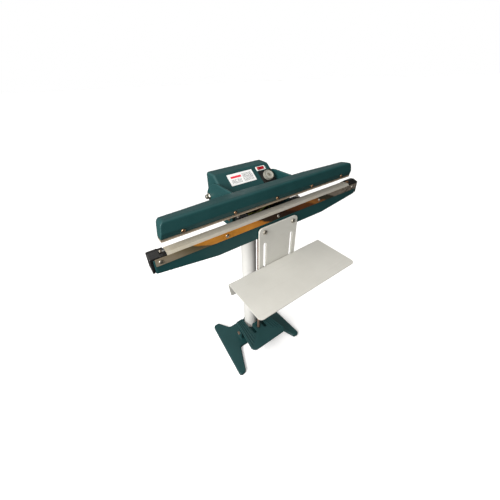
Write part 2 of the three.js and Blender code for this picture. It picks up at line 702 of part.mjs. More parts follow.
function cableGland() {
  const profile = [
    [3.5, 60], [8, 60], [8, 72.3], [11, 72.3], [11, 77], [8, 78], [5.5, 88], [3.5, 88], [3.5, 60],
  ].map(([r, y]) => new THREE.Vector2(r, y));
  return solidTube(new THREE.LatheGeometry(profile, 18)).translate(-50, 0, 690);
}

// ---------------------------------------------------------------------------------------------
// Assembly
// ---------------------------------------------------------------------------------------------

part('base_casting', baseCasting(), GREEN_PAINT);
part('column', column(), WHITE_PAINT);
flangeBoltPlaces().forEach(([x, y], i) => part(`flange_bolt_${i + 1}`, flangeBolt(x, y), ZINC));
part('pull_rod', pullRod(), RUSTY_STEEL);
part('return_spring', returnSpring(), BRIGHT_STEEL);

const pedalGroup = new THREE.Group();
pedalGroup.position.set(0, PEDAL_PIVOT.y, PEDAL_PIVOT.z);
pedalGroup.rotation.x = -PEDAL_TILT;
machine.add(pedalGroup);
part('pedal', pedal(), GREEN_PAINT, pedalGroup);

part('lower_casting', lowerCasting(), GREEN_PAINT);
part('seal_bar', box([-303, -140, JAW_TOP + GAP], [303, -121, 676.1]), ALUMINIUM);
part('heating_ribbon', box([-309.7, -133.5, 676.4], [309.7, -127.5, 676.7]), BRIGHT_STEEL);
part('ptfe_cover', ptfeCover(), TAPE);
part('cover_strip', coverStrip(), MIRROR_STEEL);
part('earth_wire', earthWire(), EARTH_INSULATION);

part('tray_bracket', bracket(), CREAM_PAINT);
part('work_tray', workTray(), CREAM_PAINT);

const jawGroup = new THREE.Group();
jawGroup.position.set(0, PIVOT.y, PIVOT.z);
jawGroup.rotation.x = -OPEN_ANGLE;
machine.add(jawGroup);
part('upper_jaw', upperJaw(), GREEN_PAINT, jawGroup);
part('pad_holder', box([-308.3, -190.5, 3.2], [308.3, -167, 6.2]), ALUMINIUM, jawGroup);
part('silicone_pad', box([-308, -189.5, -0.1], [308, -168, 2.9]), SILICONE, jawGroup);
part('yoke_crossbar', yokeCrossbar(), RUSTY_STEEL, jawGroup);

part('pivot_shaft', cylinder('x', 6, -117, 117, PIVOT.y, PIVOT.z, 20), ZINC);

FIVE.forEach((i) => {
  part(`strip_screw_${i + 3}`, stripScrew(i), ZINC);
  part(`jaw_screw_${i + 3}`, jawScrew(i), BRASS, jawGroup);
});

for (const [name, side] of SIDES) {
  part(`pedal_pin_${name}`, pedalPin(side), RUSTY_STEEL);
  part(`terminal_block_${name}`, terminalBlock(name, side), BLACK_BAKELITE);
  part(`ribbon_clamp_${name}`, ribbonClamp(side), BRASS);
  part(`element_tab_${name}`, elementTab(side), BLACK_BAKELITE);
  part(`tab_bolt_${name}`, tabBolt(side), ZINC);
  part(`bracket_bolt_${name}`, bracketBolt(side), ZINC);
  part(`tray_clamp_${name}`, trayClamp(side), ZINC);
  part(`pivot_nut_${name}`, pivotNut(side).translate(0, PIVOT.y, PIVOT.z), ZINC);
}

part('control_box', controlBox(), GREEN_PAINT);
machine.add(panel);
part('label_plate', box([-61, -50, GAP], [27, -11, 1]), LABEL, panel);
part('switch_bezel', switchBezel(), WHITE_PAINT, panel);
part('dial_plate', dialPlate(), BLACK_BAKELITE, panel);
part('timer_dial', timerDial(), KNOB_PLASTIC, panel);
part('potentiometer', cylinder('z', 10, -18, -9, DIAL.x, -DIAL.down, 18), ALUMINIUM, panel);
part('timer_board', box([50, -88, -20.5], [90, -30, -18.4]), CIRCUIT, panel);

const rockerGroup = new THREE.Group();
rockerGroup.position.set(SWITCH.x, -SWITCH.down, 1);
rockerGroup.rotation.y = THREE.MathUtils.degToRad(7);
panel.add(rockerGroup);
part('power_rocker', powerRocker(), RED_PLASTIC, rockerGroup);

part('transformer_core', transformerCore(), LAMINATION);
part('transformer_coil', transformerCoil(), COPPER);
part('microswitch', microswitch(), BLACK_BAKELITE);
part('cable_gland', cableGland(), BLACK_BAKELITE);

export default machine;
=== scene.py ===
"""Looks of the foot-operated impulse heat sealer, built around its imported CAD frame.

Lengths in the shape code are in millimetres and are scaled to metres when a mesh is made. +X runs along
the jaws to the operator's right, +Y points away from the operator and +Z is up, as in the CAD frame.
"""

import math

import bmesh
import bpy
from mathutils import Matrix, Vector
from mathutils.geometry import tessellate_polygon


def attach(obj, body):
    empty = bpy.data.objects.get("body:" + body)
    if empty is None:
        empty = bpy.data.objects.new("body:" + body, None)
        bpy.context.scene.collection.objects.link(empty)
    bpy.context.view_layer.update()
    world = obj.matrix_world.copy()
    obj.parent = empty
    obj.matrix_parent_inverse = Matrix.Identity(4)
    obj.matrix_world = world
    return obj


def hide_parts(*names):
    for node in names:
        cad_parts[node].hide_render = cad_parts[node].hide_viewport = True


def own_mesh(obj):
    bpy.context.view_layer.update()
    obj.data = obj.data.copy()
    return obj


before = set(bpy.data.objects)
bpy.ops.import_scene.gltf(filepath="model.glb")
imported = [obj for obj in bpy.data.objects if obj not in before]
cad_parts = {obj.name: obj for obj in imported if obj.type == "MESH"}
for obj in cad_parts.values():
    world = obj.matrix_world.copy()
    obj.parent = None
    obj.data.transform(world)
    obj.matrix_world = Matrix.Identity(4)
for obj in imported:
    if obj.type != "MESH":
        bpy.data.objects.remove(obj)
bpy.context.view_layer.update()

MM = 0.001

# ---- Shape helpers ----

PLACE = {
    "x": lambda u, v, w: Vector((w, u, v)),
    "y": lambda u, v, w: Vector((u, w, v)),
    "z": lambda u, v, w: Vector((u, v, w)),
}


def fillet(points, step=10):
    """A closed outline with true arcs in its corners, from (u, v, radius) points."""
    made = []
    for i, point in enumerate(points):
        corner = Vector(point[:2])
        radius = point[2] if len(point) > 2 else 0
        back = (Vector(points[i - 1][:2]) - corner).normalized()
        ahead = (Vector(points[(i + 1) % len(points)][:2]) - corner).normalized()
        half = back.angle(ahead, 0) / 2
        if radius <= 0 or abs(half - math.pi / 2) < 0.01:
            made.append(corner)
            continue
        centre = corner + (back + ahead).normalized() * radius / math.sin(half)
        start = corner + back * radius / math.tan(half) - centre
        end = corner + ahead * radius / math.tan(half) - centre
        first = math.atan2(start.y, start.x)
        turn = (math.atan2(end.y, end.x) - first + math.pi) % (2 * math.pi) - math.pi
        steps = max(2, math.ceil(abs(math.degrees(turn)) / step))
        for k in range(steps + 1):
            angle = first + turn * k / steps
            made.append(centre + radius * Vector((math.cos(angle), math.sin(angle))))
    return made


def ring(radius, u=0, v=0, count=32):
    """A regular outline round a centre."""
    angles = [2 * math.pi * k / count for k in range(count)]
    return [Vector((u + radius * math.cos(angle), v + radius * math.sin(angle))) for angle in angles]


def rectangle(u0, v0, u1, v1, radius=0, step=10):
    """An outline from two opposite corners, with rounded corners."""
    return fillet([(u0, v0, radius), (u1, v0, radius), (u1, v1, radius), (u0, v1, radius)], step)


def oblong(u, v, radius, half_u, half_v):
    """A slot's outline: half its straight length each way, and round ends."""
    du, dv = half_u + radius, half_v + radius
    return rectangle(u - du, v - dv, u + du, v + dv, radius)


def inset(loop, distance):
    """The loop moved to its left by a distance: an outline shrinks, a clockwise hole grows."""
    made = []
    for i, point in enumerate(loop):
        before = (point - loop[i - 1]).normalized()
        after = (loop[(i + 1) % len(loop)] - point).normalized()
        n1, n2 = Vector((-before.y, before.x)), Vector((-after.y, after.x))
        made.append(point + (n1 + n2) * distance / max(0.3, 1 + n1.dot(n2)))
    return made


def tidy_loop(loop, clockwise):
    """The loop without doubled points, wound the way the caller asks."""
    kept = []
    for point in loop:
        if not kept or (point - kept[-1]).length > 1e-4:
            kept.append(Vector(point[:2]))
    if (kept[0] - kept[-1]).length < 1e-4:
        kept.pop()
    area = sum(a.x * b.y - b.x * a.y for a, b in zip(kept, kept[1:] + kept[:1]))
    if (area < 0) != clockwise:
        kept.reverse()
    return kept


def add_object(name, data, place=Matrix()):
    made = bpy.data.objects.new(name, data)
    made.matrix_world = place
    bpy.context.scene.collection.objects.link(made)
    return made


def new_object(name, bm):
    bmesh.ops.recalc_face_normals(bm, faces=bm.faces)
    if all(edge.is_manifold for edge in bm.edges) and bm.calc_volume(signed=True) < 0:
        bmesh.ops.reverse_faces(bm, faces=bm.faces)
    bmesh.ops.scale(bm, vec=(MM, MM, MM), verts=bm.verts)
    mesh = bpy.data.meshes.new(name)
    bm.to_mesh(mesh)
    bm.free()
    return add_object(name, mesh)


def bridge(bm, below, above, closed=True):
    """Four-sided faces between two rows of points."""
    for k in range(len(below) if closed else len(below) - 1):
        after = (k + 1) % len(below)
        bm.faces.new((below[k], below[after], above[after], above[k]))


def prism(axis, outer, low, high, holes=(), edge=1.0, steps=3):
    """A plate or bar along an axis, from (u, v, radius) points, with its edges rounded over."""
    loops = [tidy_loop(fillet(outer), False)] + [tidy_loop(hole, True) for hole in holes]
    levels = [(low, 0.0), (high, 0.0)]
    if edge > 0:
        curve = [math.pi / 2 * k / steps for k in range(steps + 1)]
        levels = [(low + edge * (1 - math.cos(t)), edge * (1 - math.sin(t))) for t in curve]
        levels += [(high - edge * (1 - math.cos(t)), edge * (1 - math.sin(t))) for t in reversed(curve)]
    bm = bmesh.new()
    ends = []
    for index, (height, shrink) in enumerate(levels):
        rows = []
        for loop in loops:
            points = inset(loop, shrink) if shrink > 0 else loop
            rows.append([bm.verts.new(PLACE[axis](p.x, p.y, height)) for p in points])
        if index > 0:
            for below, above in zip(ends[-1], rows):
                bridge(bm, below, above)
        ends.append(rows)
    for rows in (ends[0], ends[-1]):
        if len(rows) == 1:
            bm.faces.new(rows[0])
            continue
        flat = [v for row in rows for v in row]
        for triangle in tessellate_polygon([[v.co for v in row] for row in rows]):
            bm.faces.new([flat[k] for k in triangle])
    return new_object("prism", bm)


def revolve(axis, profile, u=0, v=0, count=40):
    """A solid of revolution from a closed outline of (radius, height[, fillet]) points."""
    points = fillet(profile, 15)
    bm = bmesh.new()
    rows = []
    for p in points:
        if p.x < 1e-6:
            rows.append([bm.verts.new(PLACE[axis](u, v, p.y))])
        else:
            rows.append([bm.verts.new(PLACE[axis](q.x, q.y, p.y)) for q in ring(p.x, u, v, count)])
    for a, b in zip(rows, rows[1:] + rows[:1]):
        if len(a) == 1 and len(b) == 1:
            continue
        if len(a) == len(b):
            bridge(bm, a, b)
            continue
        for k in range(count):
            after = (k + 1) % count
            bm.faces.new((a[0], b[after], b[k]) if len(a) == 1 else (a[k], a[after], b[0]))
    return new_object("turned", bm)


def rod(axis, radius, low, high, u=0, v=0, edge=0.4, count=32):
    return revolve(axis, [(0, low), (radius, low, edge), (radius, high, edge), (0, high)], u, v, count)


def block(low, high, edge=0.6):
    """A box with rounded edges, from its two corners."""
    return prism("z", rectangle(*low[:2], *high[:2], edge, 30), low[2], high[2], edge=edge)


def sweep(path, radius, sides=12):
    """A round wire along a list of points, closed at both ends."""
    bm = bmesh.new()
    rows = []
    circle = ring(radius, count=sides)
    normal = None
    for i, point in enumerate(path):
        ahead = path[min(i + 1, len(path) - 1)]
        behind = path[max(i - 1, 0)]
        tangent = (ahead - behind).normalized()
        if normal is None:
            normal = tangent.orthogonal().normalized()
        normal = (normal - tangent * normal.dot(tangent)).normalized()
        side = tangent.cross(normal)
        rows.append([bm.verts.new(point + q.x * normal + q.y * side) for q in circle])
    for below, above in zip(rows, rows[1:]):
        bridge(bm, below, above)
    bm.faces.new(rows[0])
    bm.faces.new(rows[-1])
    return new_object("wire", bm)


def modify(obj, kind, **settings):
    modifier = obj.modifiers.new(kind.lower(), kind)
    for key, value in settings.items():
        setattr(modifier, key, value)


def apply_modifiers(obj):
    graph = bpy.context.evaluated_depsgraph_get()
    mesh = bpy.data.meshes.new_from_object(obj.evaluated_get(graph))
    old = obj.data
    obj.modifiers.clear()
    obj.data = mesh
    bpy.data.meshes.remove(old)
    return obj


def combine(first, others, operation):
    for other in others:
        modify(first, "BOOLEAN", operation=operation, solver="MANIFOLD", object=other)
        apply_modifiers(first)
        bpy.data.objects.remove(other)
    return first


def join(first, *others):
    return combine(first, others, "UNION")


def cut(first, *others):
    return combine(first, others, "DIFFERENCE")


def overlap(first, *others):
    return combine(first, others, "INTERSECT")


def cast(obj, voxel=1.3, soften=5, keep=0.3):
    """Gives a joined casting the rounded edges and filleted corners of poured metal."""
    modify(obj, "REMESH", mode="VOXEL", voxel_size=voxel * MM)
    modify(obj, "SMOOTH", factor=0.5, iterations=soften)
    modify(obj, "DECIMATE", ratio=keep)
    return apply_modifiers(obj)


def moved(obj, matrix):
    """Moves a mesh, not its object, so that its place is in its vertices."""
    obj.data.transform(matrix)
    if matrix.determinant() < 0:
        obj.data.flip_normals()
    return obj


def shift(x, y, z):
    return Matrix.Translation(Vector((x, y, z)) * MM)


def tilt(axis, degrees):
    return Matrix.Rotation(math.radians(degrees), 4, axis)


def another(obj, matrix):
    """A second piece of the same shape in another place."""
    return moved(add_object(obj.name, obj.data.copy()), matrix)


def outward(side, near, far):
    """The lower and higher of two places on one side of the middle."""
    return sorted((side * near, side * far))


def dress(obj, look):
    obj.data.materials.clear()
    obj.data.materials.append(LOOKS[look])


def piece(name, obj, node, slot, body="stand", look=None, sharp=42):
    """Names a finished shape, dresses it, ties it to its CAD body and hides the CAD node it stands for."""
    obj.name = name
    obj.data.name = name
    dress(obj, look or slot)
    obj.data.shade_smooth()
    obj.data.set_sharp_from_angle(angle=math.radians(sharp))
    modify(obj, "WEIGHTED_NORMAL", keep_sharp=True)
    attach(obj, body)
    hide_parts(node)
    return obj


# ---- Dimensions shared by several pieces, in millimetres ----

GAP = 0.3
COLUMN_RADIUS = 26.5
BODY_BOTTOM, BODY_FLOOR, BODY_TOP, BODY_HALF = 613, 621, 665, 96
JAW_FRONT, JAW_REAR, JAW_TOP, SEAL_TOP = -145.4, -110, 670, 677.5
LOWER_LEFT, LOWER_RIGHT = -335, 343.5
STRIP_LEFT, STRIP_RIGHT, STRIP_FRONT, STRIP_BACK = -331, 340, -147.5, -146.5
STRIP_LOW, STRIP_HIGH, STRIP_SCREW_Z, STRIP_PITCH = 654, 672.5, 663.5, 160
PIVOT, PEDAL_PIVOT = (52, 678), (-16, 40)
FLANGE_LOW, FLANGE_HIGH, SHELF_TOP, ROD_COLLAR = 606.7, 612.7, 560, 602
TAB_BOLT = (104, -110.5)
TAPE_HALF, TAPE_WIDTH, TAPE_FRONT, TAPE_LOW = 304, 49, -146.2, 657
WIRE_RADIUS = 1.6
GLAND = (-50, 690)
ROD_Y, ROD_RADIUS = -60, 5.2
BRACKET_HALF, BRACKET_BACK, BRACKET_FRONT = 68.5, -148.5, -153.5
BRACKET_BOLT = (50.3, 633)
SLOT_X, TRAY_TOP, TRAY_HALF, TRAY_FRONT, TRAY_BOLT_Z = 49, 517, 173, -295.6, 500
FLANGE_BACK = BRACKET_FRONT - GAP
UPPER_HALF, UPPER_PITCH, ARM_INNER, ARM_OUTER = 309, 129.5, 99, 105.5
PIN_HOLE = 6.3
CROSSBAR = (-110, -38)
BOX_HALF, BOX_REAR, BOX_TOP = 98.5, 72, 750
RIDGE_Y, FOOT_Y, FOOT_Z = 25, -74, 674
SWITCH, DIAL = (60, -16), (68, -49)
SIDES = (("left", -1), ("right", 1))

OPEN, PEDAL_TILT = 6.5, 7  # degrees, with the jaw open
IN_JAW = shift(0, *PIVOT) @ tilt("X", -OPEN)
IN_PEDAL = shift(0, *PEDAL_PIVOT) @ tilt("X", -PEDAL_TILT)
SLOPE = math.degrees(math.atan2(BOX_TOP - FOOT_Z, RIDGE_Y - FOOT_Y))
IN_PANEL = shift(0, RIDGE_Y, BOX_TOP) @ tilt("X", SLOPE)

# ---- Materials ----

# The third, lighter green marks the specks and raised edges: dust and wear, plus a painted highlight along
# the edges.
GREEN, GREEN_LIGHT, GREEN_WEAR_AND_HIGHLIGHT = (0.0095, 0.049, 0.050), (0.0130, 0.059, 0.060), (0.060, 0.135, 0.135)

LOOKS = {}


class Nodes:
    """A node tree and short ways to add to it."""

    def __init__(self, tree):
        self.tree = tree

    def feed(self, socket, value):
        if isinstance(value, bpy.types.NodeSocket):
            self.tree.links.new(value, socket)
        else:
            socket.default_value = value

    def node(self, kind, settings=None, **inputs):
        made = self.tree.nodes.new(kind)
        for key, value in (settings or {}).items():
            setattr(made, key, value)
        for key, value in inputs.items():
            self.feed(made.inputs[key.replace("_", " ")], value)
        return made

    def operate(self, kind, operation, *values):
        """A math node with its inputs fed in order."""
        made = self.node(kind, {"operation": operation})
        for socket, value in zip(made.inputs, values):
            self.feed(socket, value)
        return made

    def math(self, operation, *values):
        return self.operate("ShaderNodeMath", operation, *values).outputs[0]

    def vector(self, operation, *values):
        return self.operate("ShaderNodeVectorMath", operation, *values)

    def times(self, first, second):
        return self.math("MULTIPLY", first, second)


class Look(Nodes):
    """A Principled material and short ways to build it."""

    def __init__(self, name, **sockets):
        self.name = name
        self.material = bpy.data.materials.new(name)
        self.material.use_nodes = True
        super().__init__(self.material.node_tree)
        self.shader = self.tree.nodes["Principled BSDF"]
        for key, value in sockets.items():
            self.shader.inputs[key.replace("_", " ")].default_value = value
        self.where = self.node("ShaderNodeTexCoord").outputs["Object"]

    def set(self, name, value):
        self.feed(self.shader.inputs[name], value)

    def noise(self, scale, detail=3.0, rough=0.55, stretch=(1, 1, 1), distortion=0.0):
        place = self.where
        if stretch != (1, 1, 1):
            place = self.node("ShaderNodeMapping", Vector=place, Scale=stretch).outputs[0]
        made = self.node(
            "ShaderNodeTexNoise", Vector=place, Scale=scale, Detail=detail, Roughness=rough,
            Distortion=distortion,
        )
        return made.outputs["Fac"]

    def ramp(self, factor, stops):
        """Colours at places from 0 to 1."""
        made = self.node("ShaderNodeValToRGB", Fac=factor)
        elements = made.color_ramp.elements
        while len(elements) < len(stops):
            elements.new(0.5)
        for element, (place, color) in zip(elements, stops):
            element.position = place
            element.color = (*color, 1)
        return made.outputs["Color"]

    def span(self, factor, low, high, start=0.3, end=0.7):
        """A number that goes from low to high as the factor goes from start to end."""
        made = self.node(
            "ShaderNodeMapRange", Value=factor, From_Min=start, From_Max=end, To_Min=low, To_Max=high,
        )
        return made.outputs["Result"]

    def vary(self, scale, detail, low, high, start=0.3, end=0.7, **noise):
        """A number that wanders from low to high."""
        return self.span(self.noise(scale, detail, **noise), low, high, start, end)

    def mix(self, factor, first, second):
        made = self.node("ShaderNodeMix", {"data_type": "RGBA", "blend_type": "MIX"})
        self.feed(made.inputs["Factor"], factor)
        colors = [s for s in made.inputs if s.type == "RGBA"]
        for socket, value in zip(colors, (first, second)):
            self.feed(socket, value if isinstance(value, bpy.types.NodeSocket) else (*value, 1))
        return next(s for s in made.outputs if s.type == "RGBA")

    def axis(self, name):
        return self.node("ShaderNodeSeparateXYZ", Vector=self.where).outputs[name]

    def raised_edges(self, low=0.52, high=0.6):
        """1 on raised edges, broken up by noise, and 0 elsewhere."""
        pointed = self.node("ShaderNodeNewGeometry").outputs["Pointiness"]
        return self.times(self.span(pointed, 0.0, 1.0, low, high), self.vary(160, 4, 0.2, 1.0))

    def finish(self, color, roughness, *relief):
        """Keeps the look under its name. A relief layer is its height, or a noise's scale and detail, then
        its depth in millimetres."""
        self.set("Base Color", color)
        self.set("Roughness", roughness)
        normal = None
        for *height, depth in relief:
            height = self.noise(*height) if len(height) > 1 else height[0]
            made = self.node("ShaderNodeBump", Height=height, Distance=depth * MM, Strength=1.0)
            if normal is not None:
                self.feed(made.inputs["Normal"], normal)
            normal = made.outputs["Normal"]
        if normal is not None:
            self.set("Normal", normal)
        LOOKS[self.name] = self.material


def painted(name, base, light, speck_and_edge_colour=GREEN_WEAR_AND_HIGHLIGHT, gloss=(0.3, 0.42), edge_share=0.35, painted_shade_inside=False):
    """Brushed or sprayed enamel: faint clouding, orange peel, dust specks and lighter raised edges. On the
    green paints, those edges are rubbed paint and also a painted highlight.
    """
    look = Look(name, Specular_IOR_Level=0.26)
    color = look.mix(look.vary(14, 4, 0, 1), base, light)
    color = look.mix(look.vary(420, 2, 0, 0.18, 0.62, 0.72), color, speck_and_edge_colour)
    # Raised edges take the edge colour. For the greens this is lighter rubbed paint and a painted highlight
    # along the edges.
    color = look.mix(look.times(look.raised_edges(), edge_share), color, speck_and_edge_colour)
    # Inside the tub, behind the jaw beam and under the box, the colour goes nearly black: painted shade in
    # the hollow, not dirt.
    if painted_shade_inside:
        x, y, z = (look.axis(name) for name in "XYZ")
        across = look.span(look.math("ABSOLUTE", x), 1, 0, 0.088, 0.091)
        behind = look.times(look.span(y, 0, 1, -0.112, -0.108), across)
        ahead = look.times(look.span(y, 1, 0, 0.0655, 0.067), look.span(z, 0, 1, 0.618, 0.6195))
        painted_shade = look.mix(look.vary(80, 4, 0, 1), (0.003, 0.004, 0.004), (0.010, 0.012, 0.012))
        color = look.mix(look.times(behind, ahead), color, painted_shade)
    look.finish(color, look.vary(45, 5, *gloss), (620, 2, 0.05), (90, 3, 0.06))


def plated(name, dark, bright, roughness=(0.22, 0.42), metallic=1.0, grain=(1, 1, 1)):
    """A metal surface with tarnish, fine scratches and uneven gloss."""
    look = Look(name, Metallic=metallic)
    color = look.mix(look.vary(140, 5, 0, 1, 0.35, 0.65), dark, bright)
    color = look.mix(look.vary(900, 3, 0, 0.35, 0.5, 0.7, stretch=grain), color, dark)
    gloss = look.vary(320, 4, *roughness, stretch=grain)
    look.finish(color, gloss, (look.noise(1500, 3, stretch=grain), 0.02), (240, 2, 0.02))


def moulded(name, base, light, roughness=(0.35, 0.5), grain=0.03):
    """Moulded plastic with a fine spark texture and slight clouding."""
    look = Look(name)
    color = look.mix(look.vary(60, 4, 0, 1), base, light)
    look.finish(color, look.vary(130, 4, *roughness), (1800, 2, grain), (140, 3, grain))


def cream_sheet():
    """Off-white powder coat with a fine pebble, faint rub marks and a little dust."""
    look = Look("cream_sheet")
    color = look.mix(look.vary(11, 4, 0, 1), (0.53, 0.52, 0.475), (0.58, 0.57, 0.525))
    rubs = look.vary(70, 5, 0, 0.3, 0.6, 0.75, stretch=(0.12, 1.5, 1), distortion=0.4)
    color = look.mix(rubs, color, (0.48, 0.465, 0.42))
    color = look.mix(look.vary(520, 2, 0, 0.25, 0.66, 0.74), color, (0.38, 0.36, 0.31))
    look.finish(color, look.vary(55, 4, 0.42, 0.56), (1300, 2, 0.035), (60, 3, 0.08))


def mirror_steel():
    """Polished strip with bands of warm colour that lean along it, which are a painted reflection of warm
    surroundings, and with smears and hairline scratches.
    """
    look = Look("mirror_steel")
    place = look.axis("X")
    height = look.span(look.axis("Z"), -1, 1, STRIP_LOW * MM, STRIP_HIGH * MM)
    lean = look.times(height, 0.022)
    along = look.math("ADD", look.math("ADD", place, lean), look.vary(14, 3, -0.012, 0.012))
    # The colours along the strip are a painted reflection of warm surroundings. Metallic is kept low so that
    # they show. The smears and the darker spots at the right end are mixed in afterwards.
    painted_reflection_and_smears = look.ramp(look.span(along, 0, 1, -0.34, 0.35), [
        (0.000, (0.40, 0.34, 0.25)), (0.075, (0.32, 0.26, 0.17)), (0.130, (0.21, 0.165, 0.095)),
        (0.168, (0.150, 0.115, 0.060)), (0.180, (0.80, 0.330, 0.050)), (0.330, (0.86, 0.350, 0.050)),
        (0.415, (0.74, 0.270, 0.040)), (0.432, (0.050, 0.028, 0.015)), (0.550, (0.040, 0.018, 0.010)),
        (0.580, (0.16, 0.050, 0.014)), (0.660, (0.18, 0.058, 0.016)), (0.680, (0.48, 0.190, 0.040)),
        (0.722, (0.34, 0.130, 0.040)), (0.738, (0.060, 0.052, 0.030)), (0.788, (0.050, 0.042, 0.026)),
        (0.805, (0.34, 0.28, 0.22)), (1.000, (0.38, 0.32, 0.26)),
    ])
    smears = look.vary(60, 5, 0, 0.3, 0.55, 0.75, stretch=(0.25, 1, 1), distortion=0.6)
    painted_reflection_and_smears = look.mix(smears, painted_reflection_and_smears, (0.12, 0.085, 0.055))
    spots = look.times(look.vary(110, 5, 0, 0.8, 0.45, 0.6), look.span(place, 0, 1, 0.24, 0.29))
    painted_reflection_and_smears = look.mix(spots, painted_reflection_and_smears, (0.10, 0.075, 0.055))
    look.set("Metallic", look.vary(25, 3, 0.40, 0.55))
    gloss = look.vary(120, 4, 0.12, 0.28, stretch=(0.1, 1, 1))
    look.finish(painted_reflection_and_smears, gloss, (look.noise(1200, 3, stretch=(0.04, 1, 1)), 0.006))


def glass_cloth():
    """Coated woven glass tape: a plain weave, amber stains and a paler left end."""
    look = Look("glass_cloth_tape")
    x, y, z = (look.axis(name) for name in "XYZ")
    per_thread = 2 * math.pi / (0.8 * MM)
    warp = look.math("SINE", look.times(x, per_thread))
    weft = look.math("SINE", look.times(look.math("ADD", y, z), per_thread))
    weave = look.span(look.times(warp, weft), 0, 1, -1, 1)
    color = look.ramp(look.span(x, 0, 1, -0.31, 0.31), [
        (0.0, (0.45, 0.41, 0.32)), (0.3, (0.39, 0.37, 0.32)), (0.7, (0.38, 0.36, 0.315)),
        (1.0, (0.35, 0.33, 0.285)),
    ])
    color = look.mix(look.vary(38, 5, 0, 0.5, 0.5, 0.75, stretch=(0.4, 1, 1)), color, (0.33, 0.28, 0.19))
    streaks = look.vary(300, 4, 0, 0.35, 0.45, 0.7, stretch=(1, 0.05, 0.05))
    color = look.mix(streaks, color, (0.48, 0.46, 0.41))
    color = look.mix(look.span(weave, 0.0, 0.35, 0.2, 0.0), color, (0.22, 0.20, 0.16))
    look.finish(color, look.vary(90, 4, 0.38, 0.55), (weave, 0.05), (60, 3, 0.1))


def silicone_rubber():
    look = Look("silicone")
    color = look.mix(look.vary(30, 5, 0, 1), (0.36, 0.28, 0.20), (0.45, 0.37, 0.27))
    specks = look.vary(400, 3, 0, 0.4, 0.5, 0.7, stretch=(0.2, 1, 1))
    color = look.mix(specks, color, (0.24, 0.18, 0.13))
    look.finish(color, look.vary(200, 3, 0.6, 0.8), (1200, 3, 0.04))


def rusty_steel():
    look = Look("worn_steel")
    rust = look.vary(150, 6, 0, 1, 0.40, 0.6, rough=0.7)
    color = look.mix(rust, (0.30, 0.25, 0.21), (0.17, 0.065, 0.025))
    look.set("Metallic", look.span(rust, 0.9, 0.1, 0, 1))
    look.finish(color, look.span(rust, 0.35, 0.75, 0, 1), (700, 4, 0.06), (rust, 0.03))


def label_print():
    """A generic white plate: a red heading bar and rows of grey dashes, with no lettering."""
    look = Look("label_print")
    look.where = look.node("ShaderNodeTexCoord").outputs["UV"]
    u, v = look.axis("X"), look.axis("Y")

    def within(value, low, high):
        return look.times(look.math("GREATER_THAN", value, low), look.math("LESS_THAN", value, high))

    def rect(u0, u1, v0, v1):
        return look.times(within(u, u0, u1), within(v, v0, v1))

    def dashes(scale_u, scale_v):
        where = look.node("ShaderNodeMapping", Vector=look.where, Scale=(scale_u, scale_v, 1)).outputs[0]
        bricks = look.node(
            "ShaderNodeTexBrick", {"offset": 0.37, "squash": 0.6, "squash_frequency": 3}, Vector=where,
            Scale=1.0, Mortar_Size=0.11, Mortar_Smooth=0.0, Brick_Width=0.7, Row_Height=0.5,
        )
        lines = look.math("GREATER_THAN", look.math("SUBTRACT", 1.0, bricks.outputs["Fac"]), 0.5)
        return look.times(lines, look.math("GREATER_THAN", look.noise(9, 1), 0.36))

    color = look.mix(look.vary(7, 3, 0, 1), (0.80, 0.80, 0.79), (0.88, 0.88, 0.87))
    color = look.mix(look.times(rect(0.08, 0.46, 0.14, 0.50), dashes(16, 22)), color, (0.012, 0.012, 0.015))
    color = look.mix(look.times(rect(0.54, 0.94, 0.14, 0.86), dashes(20, 24)), color, (0.02, 0.02, 0.025))
    color = look.mix(rect(0.10, 0.50, 0.60, 0.78), color, (0.75, 0.03, 0.06))
    look.finish(color, 0.4, (60, 3, 0.01))


def red_lens():
    look = Look("red_plastic", Coat_Weight=0.4)
    color = look.mix(look.vary(90, 3, 0, 1), (0.30, 0.003, 0.008), (0.42, 0.006, 0.014))
    look.finish(color, 0.18, (700, 2, 0.008))


for make in (cream_sheet, mirror_steel, glass_cloth, silicone_rubber, rusty_steel, label_print, red_lens):
    make()
painted("green_casting", GREEN, GREEN_LIGHT)
# This copy of the green paint carries painted shade inside the tub.
painted("green_tub_painted_shade", GREEN, GREEN_LIGHT, painted_shade_inside=True)
painted("green_iron", (0.0080, 0.040, 0.041), (0.0110, 0.049, 0.050), edge_share=0.55)
painted("green_sheet", GREEN, GREEN_LIGHT, gloss=(0.28, 0.38), edge_share=0.25)
painted("white_enamel", (0.60, 0.595, 0.565), (0.66, 0.655, 0.63), (0.52, 0.50, 0.45), (0.3, 0.4), 0.1)
plated("zinc_steel", (0.36, 0.32, 0.26), (0.66, 0.63, 0.56))
plated("dull_zinc", (0.12, 0.11, 0.075), (0.42, 0.40, 0.34), (0.28, 0.45))
plated("brass", (0.24, 0.11, 0.055), (0.60, 0.38, 0.22), (0.2, 0.38))
plated("spring_steel", (0.40, 0.40, 0.39), (0.68, 0.68, 0.66), (0.2, 0.34))
plated("bare_aluminium", (0.34, 0.28, 0.21), (0.50, 0.43, 0.33), (0.35, 0.5), 0.8, (0.05, 1, 1))
plated("copper_winding", (0.30, 0.09, 0.03), (0.62, 0.26, 0.10), (0.3, 0.45), 0.8, (1, 1, 0.03))
plated("lamination_steel", (0.09, 0.095, 0.10), (0.18, 0.185, 0.19), (0.4, 0.6), 0.7, (1, 0.03, 1))
moulded("black_bakelite", (0.003, 0.003, 0.003), (0.008, 0.0075, 0.007), (0.22, 0.38))
moulded("white_plastic", (0.78, 0.77, 0.73), (0.84, 0.83, 0.80), (0.3, 0.4), 0.01)
moulded("earth_insulation", (0.045, 0.10, 0.012), (0.26, 0.24, 0.02), (0.35, 0.5), 0.01)
moulded("circuit_board", (0.015, 0.13, 0.05), (0.03, 0.22, 0.09), (0.3, 0.45), 0.01)

# ---- Base, column, rod and pedal ----


